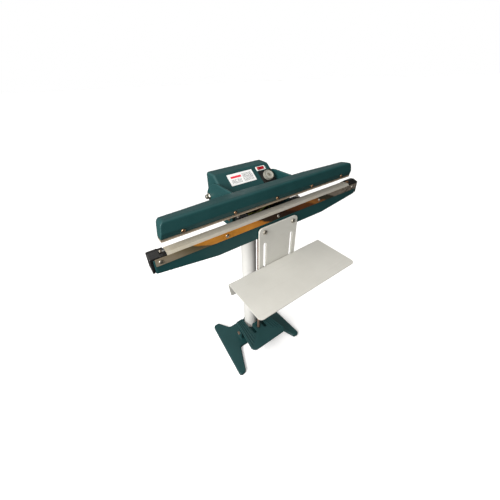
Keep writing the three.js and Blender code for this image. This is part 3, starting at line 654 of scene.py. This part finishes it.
def base_shape():
    plan = [
        (91, -55, 10), (129, -151, 9), (156, -154, 11), (142, 96, 12), (116, 98, 12), (83, 50, 12),
        (-83, 50, 12), (-116, 98, 12), (-142, 96, 12), (-156, -154, 11), (-129, -151, 9), (-91, -55, 10),
    ]
    lug = [(-32, 8), (0, 8), (-3, 51, 12), (-29, 51, 12)]
    shape = prism("z", plan, 0, 14, edge=2.5)
    shape = join(shape, rod("z", 37, 2, 44, edge=2.5, count=64))
    for _, side in SIDES:
        shape = join(shape, prism("x", lug, side * 67 - 4, side * 67 + 4, edge=1))
    shape = cast(shape, 1.4, 4, 0.4)
    pins = (rod("x", 5.3, *outward(side, 50, 90), *PEDAL_PIVOT, 0) for _, side in SIDES)
    return cut(shape, rod("z", COLUMN_RADIUS + GAP, 10, 60, edge=0, count=64), *pins)


def column_shape():
    r = COLUMN_RADIUS
    shape = revolve("z", rectangle(r - 2.5, 10.3, r, FLANGE_HIGH), count=96)
    bolts = [ring(4.3, x, y, 20) for x in (-44, 44) for y in (-33, 33)]
    flange = prism("z", rectangle(-56, -44, 56, 44, 6), FLANGE_LOW, FLANGE_HIGH, bolts, 0.8)
    bead = revolve("z", [
        (r - 1, 599), (r + 0.6, 599.5), (r + 4.2, 603.2, 3), (r + 5.4, 607.2), (r - 1, 607.2),
    ], count=96)
    plan = [(-16, -76, 3), (16, -76, 3), (16, -20), (-16, -20)]
    shelf = prism("z", plan, SHELF_TOP - 4, SHELF_TOP, [ring(ROD_RADIUS + 1, 0, ROD_Y, 24)], 0.5)
    return cut(join(shape, bead, flange, shelf), rod("z", r - 2.4, 540, 620, edge=0, count=96))


def pedal_shape():
    plan = [
        (-64, 30.5, 4), (-86, -131, 20), (86, -131, 20), (64, 30.5, 4),
        (33, 30.5, 2), (33, -68, 6.8), (19, -68, 6.8), (19, -20, 10),
        (-19, -20, 10), (-19, -68, 6.8), (-33, -68, 6.8), (-33, 30.5, 2),
    ]
    shape = prism("z", plan, 27, 33, [oblong(0, -44.2, ROD_RADIUS + 1, 0, 4.6)], 1.4)
    for _, side in SIDES:
        for i in range(4):
            rear, front = side * (38.5 + 6.6 * i), side * (43 + 11.4 * i)
            front_y = -87 - 9.5 * i
            ridge = fillet([
                (rear - 1.5, 26, 1.2), (rear + 1.5, 26, 1.2),
                (front + 1.5, front_y, 1.2), (front - 1.5, front_y, 1.2),
            ], 30)
            shape = join(shape, prism("z", ridge, 31, 35.5, edge=0.7))
            if i < 3:
                groove = [p + Vector((side * 3.6, -1)) for p in ridge]
                shape = cut(shape, prism("z", groove, 31.8, 40, edge=0))
        ear = [(-16, 29), (-9, -9, 8), (9, -9, 8), (16, 29)]
        ear = prism("x", ear, side * 55 - 4, side * 55 + 4, edge=1)
        shape = join(shape, cut(ear, rod("x", 5.3, side * 55 - 9, side * 55 + 9, 0, 0, 0)))
    return moved(shape, IN_PEDAL)


def bar_rest():
    """Where the yoke's cross-bar lies with the jaw open."""
    return IN_JAW @ (Vector((0, *CROSSBAR)) * MM) / MM


def pull_rod_shape():
    at = bar_rest()
    low, high, front, rear = at.z - 12, at.z + 11, ROD_Y - 15, ROD_Y + 15
    eye = [(front, low, 5), (rear, low, 5), (rear, high, 7), (front, high, 7)]
    hole = oblong(ROD_Y, at.z, 6.7, 2.6, 0)
    return join(
        rod("z", ROD_RADIUS, 52, at.z - 8, 0, ROD_Y, 0.8), prism("x", eye, -8, 8, [hole], 1),
        rod("z", 9.6, ROD_COLLAR, ROD_COLLAR + 4.5, 0, ROD_Y, 0.8),
        moved(hex_nut(9, 8.5), shift(0, ROD_Y, 61.5)),
    )


def hex_nut(radius, height):
    """A hexagon nut or head standing on the origin along +Z, with turned corners."""
    body = prism("z", ring(radius, count=6), 0, height, edge=0)
    cone = revolve("z", [
        (0, -0.5), (radius * 0.93, -0.5), (radius * 1.01, 0.7), (radius * 1.01, height - 0.9),
        (radius * 0.86, height), (0, height),
    ], count=48)
    return overlap(body, cone)


piece("cast_base", base_shape(), "base_casting", "green_iron")
piece("steel_column", column_shape(), "column", "white_enamel")
piece("foot_pedal", pedal_shape(), "pedal", "green_iron", "pedal")
piece("rod_with_eye", pull_rod_shape(), "pull_rod", "worn_steel", "rod")

for index, (x, y) in enumerate([(-44, -33), (44, -33), (44, 33), (-44, 33)]):
    bolt = join(moved(hex_nut(7, 5.2), tilt("X", 180) @ shift(0, 0, 0.3)), rod("z", 4, -1, 12.3))
    moved(bolt, shift(x, y, FLANGE_LOW))
    piece(f"flange_screw_{index + 1}", bolt, f"flange_bolt_{index + 1}", "zinc_steel")

for name, side in SIDES:
    head = moved(hex_nut(8, 4.7), shift(71.3, *PEDAL_PIVOT) @ tilt("Y", 90))
    pin = join(rod("x", 5, 50, 74, *PEDAL_PIVOT, 0.6), head)
    if side < 0:
        moved(pin, Matrix.Scale(-1, 4, (1, 0, 0)))
    piece(f"pedal_pivot_{name}", pin, f"pedal_pin_{name}", "worn_steel")


def spring_shape():
    wire, radius, turns, steps = 1.4, 7.6, 7, 196
    low, high = SHELF_TOP + wire + GAP, ROD_COLLAR - wire - GAP
    path = []
    for k in range(steps + 1):
        angle = 2 * math.pi * turns * (k / steps)
        height = low + (high - low) * (k / steps)
        path.append(Vector((radius * math.cos(angle), ROD_Y + radius * math.sin(angle), height)))
    return sweep(path, wire)


spring = piece("coil_spring", spring_shape(), "return_spring", "spring_steel")
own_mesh(spring)

# ---- Lower jaw ----


def lower_casting_shape():
    face = fillet([
        (LOWER_LEFT, 634, 4), (-186, BODY_BOTTOM, 60), (186, BODY_BOTTOM, 60), (LOWER_RIGHT, 634, 4),
        (LOWER_RIGHT, JAW_TOP, 1.5), (LOWER_LEFT, JAW_TOP, 1.5),
    ], 5)
    shape = prism("y", face, JAW_FRONT, JAW_REAR, edge=2)
    tub = [(-BODY_HALF, -112), (BODY_HALF, -112), (BODY_HALF, BOX_REAR, 12), (-BODY_HALF, BOX_REAR, 12)]
    shape = join(shape, prism("z", tub, BODY_BOTTOM, BODY_TOP, edge=1.5))
    for _, side in SIDES:
        x, z = side * BRACKET_BOLT[0], BRACKET_BOLT[1]
        shape = join(shape, rod("y", 11, BRACKET_BACK + GAP, JAW_FRONT + 4, x, z, 0.8))
        shape = join(shape, rod("z", 6.5, 650, JAW_TOP, side * TAB_BOLT[0], TAB_BOLT[1] + 1.5, 0.8))
    wall = BODY_HALF - 7
    hollow = block((-wall, JAW_REAR + 11, BODY_FLOOR), (wall, BOX_REAR - 7, BODY_TOP + 5), 3)
    notch_rear = CROSSBAR[0] + PIVOT[0] + 9
    notch = block((-120, bar_rest().y - 9, 632), (120, notch_rear, BODY_TOP + 8), 3)
    shape = cast(cut(shape, hollow, notch), 1.5, 3, 0.3)
    return cut(shape, rod("z", ROD_RADIUS + 1, 600, 640, 0, ROD_Y, 0))


def ptfe_shape():
    """The tape over the seal bar: a thin folded sheet with rounded shoulders."""
    outer = [
        (TAPE_FRONT, TAPE_LOW), (TAPE_FRONT, 671.5, 3), (-141.2, SEAL_TOP, 3), (-119.4, SEAL_TOP, 1.2),
        (-118.4, 670.6),
    ]
    inner = [
        (-118.9, 670.6), (-119.9, 677, 0.7), (-140.9, 677, 2.6), (TAPE_FRONT + 0.5, 671.2, 2.6),
        (TAPE_FRONT + 0.5, TAPE_LOW),
    ]
    return prism("x", fillet(outer + inner, 12), -TAPE_HALF, TAPE_HALF, edge=0)


def strip_shape():
    outline = rectangle(STRIP_LEFT, STRIP_LOW, STRIP_RIGHT, STRIP_HIGH, 1.5)
    holes = [ring(2.8, i * STRIP_PITCH, STRIP_SCREW_Z, 20) for i in (-2, -1, 0, 1, 2)]
    return prism("y", outline, STRIP_FRONT, STRIP_BACK, holes, 0.3, 2)


def pan_screw(radius, height, length, shank):
    """A cross-head screw at the origin: its head rises along -Y and its shank runs along +Y."""
    dome = [(0, 0), (radius, 0), (radius, -height * 0.35)]
    for k in range(1, 6):
        angle = math.pi / 2 * k / 6
        dome.append((radius * math.cos(angle * 0.93), -height * (0.35 + 0.65 * math.sin(angle))))
    dome.append((0, -height))
    head = revolve("y", dome, count=28)
    for turn in (20, 110):
        slot = rectangle(-radius * 0.55, -0.45, radius * 0.55, 0.45)
        slot = prism("y", slot, -height - 1, -height * 0.45, edge=0)
        head = cut(head, moved(slot, tilt("Y", turn)))
    return join(head, rod("y", shank, -0.3, length, 0, 0, 0.3, 20))


def terminal_shape(side):
    """A moulded end: a stepped tray, a hood over the ribbon clamp and a cheek over the beam's end."""
    end = (LOWER_LEFT if side < 0 else LOWER_RIGHT) + side * GAP
    floor = [(JAW_FRONT, JAW_TOP + GAP, 0.5), (JAW_REAR, JAW_TOP + GAP, 0.5)]
    tray = [
        *floor, (JAW_REAR, 672.5, 0.7), (-136.4, 672.5, 0.8), (-136.4, 676.4, 1.4), (JAW_FRONT, 675, 1.4),
    ]
    crown = [(JAW_REAR, 673, 3), (-118, 679, 4), (-129, 681, 6), (JAW_FRONT, 675, 3)]
    foot = [(JAW_FRONT, 637, 3), (JAW_REAR, 637, 3)]
    shape = prism("x", tray, *outward(side, 305, 319), edge=0.5)
    shape = join(shape, prism("x", floor + crown, *sorted((side * 317.3, end + side * 2)), edge=0.8))
    return join(shape, prism("x", foot + crown, *sorted((end, end + side * 5.5)), edge=1.5))


piece("lower_jaw_casting", lower_casting_shape(), "lower_casting", "green_casting", look="green_tub_painted_shade")
cover = piece("glass_cloth_cover", ptfe_shape(), "ptfe_cover", "glass_cloth_tape")
piece("polished_strip", strip_shape(), "cover_strip", "mirror_steel")
seal_bar = block((-303, -140, JAW_TOP + GAP), (303, -121, 676.1), 0.8)
piece("seal_bar_aluminium", seal_bar, "seal_bar", "bare_aluminium")
ribbon = block((-309.7, -133.5, 676.4), (309.7, -127.5, 676.7), 0.1)
piece("nichrome_ribbon", ribbon, "heating_ribbon", "spring_steel")

strip_screw = pan_screw(4.6, 2.5, 12.2, 2.4)
for i in range(5):
    place = shift((i - 2) * STRIP_PITCH, STRIP_FRONT - GAP, STRIP_SCREW_Z) @ tilt("Y", 37 * i)
    piece(f"cover_screw_{i + 1}", another(strip_screw, place), f"strip_screw_{i + 1}", "zinc_steel")
bpy.data.objects.remove(strip_screw)

for name, side in SIDES:
    piece(f"bakelite_end_{name}", terminal_shape(side), f"terminal_block_{name}", "black_bakelite")
    low, high = outward(side, 310, 317)
    clamp = block((low, -135, 672.8), (high, -126, 678.5), 0.6)
    clamp = join(clamp, moved(pan_screw(2.6, 2, 2, 1.4), shift(side * 313.5, -130.5, 678.9) @ tilt("X", -90)))
    clamp_look = "zinc_steel" if side < 0 else "brass"
    piece(f"brass_clamp_{name}", clamp, f"ribbon_clamp_{name}", "brass", look=clamp_look)
    low, high = outward(side, 76, 110)
    tab = block((low, -118, JAW_TOP + GAP), (high, -104, SEAL_TOP), 1)
    for x in (84, 90, 96):
        groove = block((side * x - 0.8, -120, SEAL_TOP - 1), (side * x + 0.8, -102, SEAL_TOP + 2), 0.3)
        tab = cut(tab, groove)
    x, y = side * TAB_BOLT[0], TAB_BOLT[1]
    tab = cut(tab, rod("z", 2.6, 660, 690, x, y, 0))
    piece(f"terminal_tab_{name}", tab, f"element_tab_{name}", "black_bakelite")
    bolt = join(moved(hex_nut(4.2, 3.5), shift(x, y, SEAL_TOP + GAP)), rod("z", 2.2, 657, 679, x, y))
    piece(f"terminal_bolt_{name}", bolt, f"tab_bolt_{name}", "zinc_steel")


def smooth_path(points, per_span):
    """A Catmull-Rom line through points."""
    ends = [points[0] * 2 - points[1], *points, points[-1] * 2 - points[-2]]
    made = []
    for a, b, c, d in zip(ends, ends[1:], ends[2:], ends[3:]):
        for k in range(per_span):
            t = k / per_span
            bend = (2 * a - 5 * b + 4 * c - d) * t ** 2 + (3 * b - a - 3 * c + d) * t ** 3
            made.append(0.5 * (2 * b + (c - a) * t + bend))
    return [*made, points[-1]]


wire_line = smooth_path([Vector(point) for point in (
    (-75, -110, 674.5), (-60, -105, 672.5), (-46, -95, 665), (-28, -91, 658), (-6, -90, 665),
    (10, -88, 667), (19, -87, 656), (14, -87, 642), (4, -87, 631),
)], 10)
lead = piece("earth_lead", sweep(wire_line, WIRE_RADIUS, 14), "earth_wire", "earth_insulation")

# ---- Bracket and tray ----


def bracket_shape():
    half = BRACKET_HALF
    face = [(-half, 470, 4), (half, 470, 4), (half, 647, 12), (-half, 647, 12)]
    holes = []
    for _, side in SIDES:
        holes.append(oblong(side * SLOT_X, 540.5, 4.5, 0, 52))
        holes.append(ring(4, side * BRACKET_BOLT[0], BRACKET_BOLT[1], 24))
    return prism("y", face, BRACKET_FRONT, BRACKET_BACK, holes, 1.0, 4)


def tray_shape():
    """Folded sheet: the flat top runs back to a bend, and a flange hangs down against the bracket."""
    thick, bend, foot, corner = 2, 5, 467, 12
    back = FLANGE_BACK - thick / 2
    middle_z = TRAY_TOP - thick / 2
    flat_end = back - bend
    side, foot_round = TRAY_HALF - 5.2, 6
    rows = []

    def turn(steps, first=1):
        """The cosine's and sine's rise through a quarter turn."""
        angles = [math.pi / 2 * k / steps for k in range(first, steps + 1)]
        return [(1 - math.cos(angle), math.sin(angle)) for angle in angles]

    for fall, reach in turn(9, 0):
        rows.append((TRAY_FRONT + corner * fall, middle_z, TRAY_HALF - corner * (1 - reach)))
    start = TRAY_FRONT + corner
    for k in range(1, 8):
        rows.append((start + (flat_end - start) * k / 7, middle_z, TRAY_HALF))
    for fall, reach in turn(8):
        rows.append((flat_end + bend * reach, middle_z - bend * fall, TRAY_HALF))
    drop = middle_z - bend - foot - foot_round
    for k in range(1, 5):
        rows.append((back, middle_z - bend - drop * k / 4, TRAY_HALF - (TRAY_HALF - side) * k / 4))
    for fall, reach in turn(6):
        rows.append((back, foot + foot_round * (1 - reach), side - foot_round * fall))
    bm = bmesh.new()
    across = [2 * c / 16 - 1 for c in range(17)]
    grid = [[bm.verts.new((half * share, y, z)) for share in across] for y, z, half in rows]
    for below, above in zip(grid, grid[1:]):
        bridge(bm, below, above, closed=False)
    shape = new_object("tray", bm)
    modify(shape, "SOLIDIFY", thickness=thick * MM, offset=0, use_even_offset=True)
    edge_limit = math.radians(60)
    modify(shape, "BEVEL", width=0.6 * MM, segments=3, limit_method="ANGLE", angle_limit=edge_limit)
    apply_modifiers(shape)
    for _, side in SIDES:
        shape = cut(shape, rod("y", 4, -165, -150, side * SLOT_X, TRAY_BOLT_Z, 0))
    return shape


piece("slotted_bracket", bracket_shape(), "tray_bracket", "cream_sheet")
piece("folded_tray", tray_shape(), "work_tray", "cream_sheet", "tray")

for name, side in SIDES:
    x, z = side * BRACKET_BOLT[0], BRACKET_BOLT[1]
    bolt = moved(pan_screw(6.5, 4.2, 20, 3.6), shift(x, BRACKET_FRONT - GAP, z) @ tilt("Y", 25 + 40 * side))
    piece(f"bracket_screw_{name}", bolt, f"bracket_bolt_{name}", "zinc_steel")
    front = FLANGE_BACK - 2 - GAP
    bolt = pan_screw(7, 5.7, BRACKET_BACK + 9 - front, 3.5)
    bolt = join(bolt, moved(hex_nut(7.5, 6.2), shift(0, BRACKET_BACK + GAP - front, 0) @ tilt("X", -90)))
    bolt = moved(bolt, shift(side * SLOT_X, front, TRAY_BOLT_Z))
    piece(f"clamp_screw_{name}", bolt, f"tray_clamp_{name}", "zinc_steel", "tray")

# ---- Upper jaw, shaped closed and then opened ----

U_FRONT, U_BEVEL_FOOT, U_REAR_END, U_REAR = -197, -191, -163, -142
U_BOTTOM, U_BEVEL_TOP, U_RIDGE = 6.5, 20.5, 48


def upper_jaw_shape():
    half = UPPER_HALF
    section = [
        (U_BEVEL_FOOT, U_BOTTOM, 0.8), (U_REAR, U_BOTTOM, 1), (U_REAR, 44, 4), (-188, U_RIDGE, 8),
        (U_FRONT, U_RIDGE - 2, 4), (U_FRONT, U_BEVEL_TOP, 1),
    ]
    face = [(-half, 3), (half, 3), (half - 8, U_RIDGE, 14), (-half + 8, U_RIDGE, 14)]
    plan = [
        (-half, -200), (half, -200), (half, U_REAR_END, 6), (115, U_REAR, 60), (-115, U_REAR, 60),
        (-half, U_REAR_END, 6),
    ]
    shape = overlap(
        prism("x", section, -half, half, edge=2.5), prism("y", face, -210, -130, edge=0),
        prism("z", plan, 0, 60, edge=0),
    )
    shape = cut(shape, block((-half + 16, -187, 3), (half - 16, -172, 38), 1))
    arm = [
        (-146, 12), (-134, 2, 12), (-127, -48, 12), (-114, -66, 12), (-89, -62, 12), (-72, -30, 24),
        (-20, -25, 12), (10, -15, 14), (13, 10, 11), (-2, 28, 14), (-38, 46, 22), (-62, 49.5, 30), (-146, 42),
    ]
    for _, side in SIDES:
        shape = join(shape, prism("x", arm, *outward(side, ARM_INNER, ARM_OUTER), edge=1.5))
    shape = cast(shape, 1.3, 4, 0.3)
    for _, side in SIDES:
        middle = side * (ARM_INNER + ARM_OUTER) / 2
        for at in ((0, 0), CROSSBAR):
            shape = cut(shape, rod("x", PIN_HOLE, middle - 12, middle + 12, *at, 0, 40))
    return moved(shape, IN_JAW)


def crossbar_shape():
    shape = rod("x", 6, -ARM_OUTER - 3, ARM_OUTER + 3, *CROSSBAR, 0.6, 40)
    for _, side in SIDES:
        ends = outward(side, ARM_OUTER + GAP, ARM_OUTER + 1.5)
        shape = join(shape, rod("x", 8, *ends, *CROSSBAR, 0.3, 40))
    return moved(shape, IN_JAW)


piece("upper_jaw_casting", upper_jaw_shape(), "upper_jaw", "green_casting", "jaw")
channel = block((-308.3, -190.5, 3.2), (308.3, -167, 6.2), 0.5)
piece("pad_channel", moved(channel, IN_JAW), "pad_holder", "bare_aluminium", "jaw")
pad = block((-308, -189.5, -0.1), (308, -168, 2.9), 0.7)
piece("silicone_strip", moved(pad, IN_JAW), "silicone_pad", "silicone", "jaw")
piece("cross_bar", crossbar_shape(), "yoke_crossbar", "worn_steel", "jaw")

jaw_screw = pan_screw(4.6, 2.9, 9, 2.3)
lean = math.degrees(math.atan2(U_BEVEL_FOOT - U_FRONT, U_BEVEL_TOP - U_BOTTOM))
for i in range(5):
    y, z = (U_FRONT + U_BEVEL_FOOT) / 2, (U_BEVEL_TOP + U_BOTTOM) / 2
    place = IN_JAW @ shift((i - 2) * UPPER_PITCH, y, z) @ tilt("X", lean)
    place = place @ shift(0, -GAP, 0) @ tilt("Y", 50 * i)
    piece(f"brass_screw_{i + 1}", another(jaw_screw, place), f"jaw_screw_{i + 1}", "brass", "jaw")
bpy.data.objects.remove(jaw_screw)

piece("hinge_shaft", rod("x", 6, -117, 117, *PIVOT, 1, 40), "pivot_shaft", "zinc_steel")
for name, side in SIDES:
    washer = revolve("z", [
        (PIN_HOLE, GAP), (10, GAP, 0.2), (10, 1.2, 0.4), (7.4, 4.2), (PIN_HOLE, 4.2),
    ], count=40)
    nut = cut(moved(hex_nut(8, 5.4), shift(0, 0, 3.6)), rod("z", PIN_HOLE, -1, 12, edge=0, count=40))
    nut = moved(join(washer, nut), shift(side * ARM_OUTER, *PIVOT) @ tilt("Y", 90 * side))
    piece(f"hinge_nut_{name}", nut, f"pivot_nut_{name}", "zinc_steel", look="dull_zinc")

# ---- Control box ----


def control_box_shape():
    shell = [
        (BOX_REAR, BODY_TOP + GAP, 0.5), (BOX_REAR, BOX_TOP, 10), (RIDGE_Y, BOX_TOP, 12),
        (FOOT_Y, FOOT_Z, 3), (FOOT_Y, BODY_TOP + GAP, 0.5),
    ]
    painted_shade_inside = [
        (BOX_REAR - 3, BODY_TOP - 5), (BOX_REAR - 3, BOX_TOP - 3, 5), (RIDGE_Y - 1, BOX_TOP - 3, 6),
        (FOOT_Y + 3, FOOT_Z - 1.5), (FOOT_Y + 3, BODY_TOP - 5),
    ]
    shape = prism("x", shell, -BOX_HALF, BOX_HALF, edge=6.5, steps=6)
    shape = cut(shape, prism("x", painted_shade_inside, -BOX_HALF + 3, BOX_HALF - 3, edge=0))
    shape = cut(shape, rod("x", PIN_HOLE, -130, 130, *PIVOT, 0, 40), rod("y", 8.3, 60, 80, *GLAND, 0))
    window = prism("z", rectangle(46, -22, 74, -10), -20, 5, edge=0)
    return cut(shape, moved(window, IN_PANEL), moved(rod("z", 3.8, -20, 5, *DIAL, 0), IN_PANEL))


def label_shape():
    """A thin plate whose texture coordinates run from 0 to 1 over its face."""
    left, low, right, high = -61, -50, 27, -11
    shape = prism("z", rectangle(left, low, right, high, 1.5), GAP, 1.0, edge=0.2, steps=2)
    layer = shape.data.uv_layers.new(name="face")
    for loop in shape.data.loops:
        at = shape.data.vertices[loop.vertex_index].co / MM
        layer.data[loop.index].uv = ((at.x - left) / (right - left), (at.y - low) / (high - low))
    return moved(shape, IN_PANEL)


def bezel_shape():
    window = rectangle(-13, -5.4, 13, 5.4, 0.5)
    bezel = prism("z", rectangle(-17, -7.5, 17, 7.5, 1.5), GAP, 2.3, [window], 0.5)
    return moved(bezel, IN_PANEL @ shift(*SWITCH, 0))


def rocker_shape():
    profile = [(-11.8, -3.5, 1), (11.8, -3.5, 1), (11.8, 3.4, 0.7), (0, 2, 20), (-11.8, 3.4, 0.7)]
    return moved(prism("y", profile, -4.8, 4.8, edge=0.5), IN_PANEL @ shift(*SWITCH, 1) @ tilt("Y", 7))


def dial_shape():
    """A fluted knob with a raised rim, a dished face and a centre cap."""
    radius, flutes = 16.5, 18
    outline = []
    for k in range(flutes * 8):
        angle = 2 * math.pi * k / (flutes * 8)
        grip = radius - 1.0 * max(0.0, math.cos(flutes * angle)) ** 2
        outline.append(Vector((grip * math.cos(angle), grip * math.sin(angle))))
    shape = join(rod("z", radius, 2.8, 6, edge=0.7, count=96), prism("z", outline, 5, 12, edge=0.9))
    dish = [(0, 10), (5.2, 10), (6.2, 10.9, 0.6), (8.8, 10.9), (9.3, 10.5), (9.9, 10.5), (10.4, 10.9)]
    shape = cut(shape, revolve("z", [*dish, (12.6, 10.9, 0.8), (14, 13), (0, 13)], count=72))
    shape = join(shape, revolve("z", [(0, 8), (4.3, 8), (4.3, 11.4, 0.7), (0, 11.8)], count=40))
    shape = cut(shape, revolve("z", [(0, 10.6), (1.7, 10.9), (1.9, 13), (0, 13)], count=24))
    shape = join(shape, rod("z", 3, -8.7, 6))
    return moved(shape, IN_PANEL @ shift(*DIAL, 0))


def dial_plate_shape():
    outline = rectangle(43, -74, 92, -26, 2)
    return moved(prism("z", outline, GAP, 1.3, [ring(3.8, *DIAL, 24)], 0.3, 2), IN_PANEL)


def dial_rings():
    """Grey knob plastic in light and dark rings round a dark brown centre, coloured by distance from the
    dial's axis.
    """
    look = Look("dial_plastic")
    centre = IN_PANEL @ (Vector((*DIAL, 0)) * MM)
    normal = (IN_PANEL.to_3x3() @ Vector((0, 0, 1))).normalized()
    offset = look.vector("SUBTRACT", look.where, centre).outputs[0]
    across = look.vector("CROSS_PRODUCT", offset, normal).outputs[0]
    away = look.span(look.vector("LENGTH", across).outputs["Value"], 0, 1, 0, 0.0165)
    rings = look.ramp(away, [
        (0.00, (0.035, 0.022, 0.014)), (0.13, (0.05, 0.035, 0.022)), (0.17, (0.30, 0.28, 0.23)),
        (0.28, (0.26, 0.24, 0.19)), (0.33, (0.16, 0.15, 0.12)), (0.38, (0.36, 0.355, 0.31)),
        (0.60, (0.42, 0.415, 0.37)), (0.66, (0.27, 0.26, 0.22)), (0.72, (0.40, 0.39, 0.34)),
        (0.84, (0.34, 0.33, 0.28)), (0.92, (0.24, 0.235, 0.20)), (1.00, (0.29, 0.28, 0.24)),
    ])
    color = look.mix(look.vary(160, 4, 0, 0.25), rings, (0.20, 0.18, 0.14))
    look.finish(color, look.vary(130, 4, 0.35, 0.5), (1800, 2, 0.03), (140, 3, 0.03))


dial_rings()

piece("control_cover", control_box_shape(), "control_box", "green_sheet", sharp=50)
piece("blank_label", label_shape(), "label_plate", "white_plastic", look="label_print")
piece("rocker_frame", bezel_shape(), "switch_bezel", "white_plastic")
piece("red_rocker", rocker_shape(), "power_rocker", "red_plastic", "rocker")
piece("dial_backplate", dial_plate_shape(), "dial_plate", "black_bakelite")
piece("fluted_dial", dial_shape(), "timer_dial", "dial_plastic", "dial")

gland = revolve("y", [
    (3.5, 60), (8, 60), (8, 72.3), (11, 72.3, 0.5), (11, 77, 0.8), (8, 78, 1), (5.5, 88, 0.8), (3.5, 88),
], *GLAND, 40)
piece("cord_gland", gland, "cable_gland", "black_bakelite")

for node, look in {
    "transformer_core": "lamination_steel", "transformer_coil": "copper_winding",
    "microswitch": "black_bakelite", "potentiometer": "bare_aluminium", "timer_board": "circuit_board",
}.items():
    dress(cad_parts[node], look)

# ---- Floor, light and camera ----


def stage_floor():
    bm = bmesh.new()
    bmesh.ops.create_grid(bm, x_segments=2, y_segments=2, size=60000)
    floor = new_object("floor", bm)
    look = Look("pale_floor", Specular_IOR_Level=0.0, Emission_Color=(1, 1, 1, 1), Emission_Strength=0.15)
    color = look.mix(look.vary(2, 2, 0, 1), (0.97, 0.97, 0.97), (0.99, 0.99, 0.99))
    look.finish(color, look.vary(5, 2, 0.85, 0.95))
    dress(floor, "pale_floor")
    floor.visible_diffuse = False
    floor.visible_glossy = False


LIGHT_AREAS = (
    # where from, how wide it starts and ends as cosines, how strong
    ((-0.93, -0.05, 0.36), 0.20, 0.95, 1.25),
    ((-0.35, 0.10, 1.00), 0.40, 0.97, 0.95),
    ((-0.55, -0.80, 0.10), 0.40, 0.97, 0.30),
    ((0.40, 0.90, 0.30), 0.60, 0.98, 0.16),
)
SURROUND = 0.075


def world_light():
    """Plain white to look at. What lights the object is a soft studio: a large window-like area on the
    left, a paler one behind, a little from the front left, and dimness on the right."""
    world = bpy.data.worlds.new("studio")
    bpy.context.scene.world = world
    world.use_nodes = True
    sky = Nodes(world.node_tree)
    direction = sky.node("ShaderNodeTexCoord").outputs["Generated"]
    total = SURROUND
    for toward, low, high, strength in LIGHT_AREAS:
        along = sky.vector("DOT_PRODUCT", direction, Vector(toward).normalized()).outputs["Value"]
        level = sky.node(
            "ShaderNodeMapRange", {"interpolation_type": "SMOOTHSTEP"}, Value=along, From_Min=low,
            From_Max=high, To_Min=0.0, To_Max=strength,
        )
        total = sky.math("ADD", total, level.outputs["Result"])
    lit = sky.tree.nodes["Background"]
    sky.feed(lit.inputs["Strength"], total)
    sky.feed(lit.inputs["Color"], (1.0, 0.985, 0.96, 1))
    plain = sky.node("ShaderNodeBackground", Color=(1, 1, 1, 1))
    seen = sky.node("ShaderNodeLightPath").outputs["Is Camera Ray"]
    either = sky.node("ShaderNodeMixShader", Fac=seen)
    sky.feed(either.inputs[1], lit.outputs[0])
    sky.feed(either.inputs[2], plain.outputs[0])
    sky.feed(sky.tree.nodes["World Output"].inputs["Surface"], either.outputs[0])


def key_light():
    """A soft square light."""
    light = bpy.data.lights.new("key", "AREA")
    light.energy = 18
    light.size = 0.6
    place, aim = Vector((-1.25, -0.50, 1.12)), Vector((-0.05, -0.1, 0.55))
    turn = (aim - place).to_track_quat("-Z", "Y").to_matrix().to_4x4()
    add_object("key", light, Matrix.Translation(place) @ turn)


def place_camera():
    yaw, pitch, roll = 0.571, 0.564, -0.038
    data = bpy.data.cameras.new("camera")
    data.sensor_width = 36
    data.lens = 16.947
    data.shift_x = 0.013
    data.shift_y = -0.0462
    data.clip_start = 0.05
    turn = Matrix.Rotation(-yaw, 4, "Z") @ Matrix.Rotation(math.pi / 2 - pitch, 4, "X")
    place = Matrix.Translation((-0.3778, -0.5592, 0.9804)) @ turn @ Matrix.Rotation(roll, 4, "Z")
    bpy.context.scene.camera = add_object("camera", data, place)


stage_floor()
world_light()
key_light()
place_camera()
bpy.context.scene.view_settings.view_transform = "Standard"
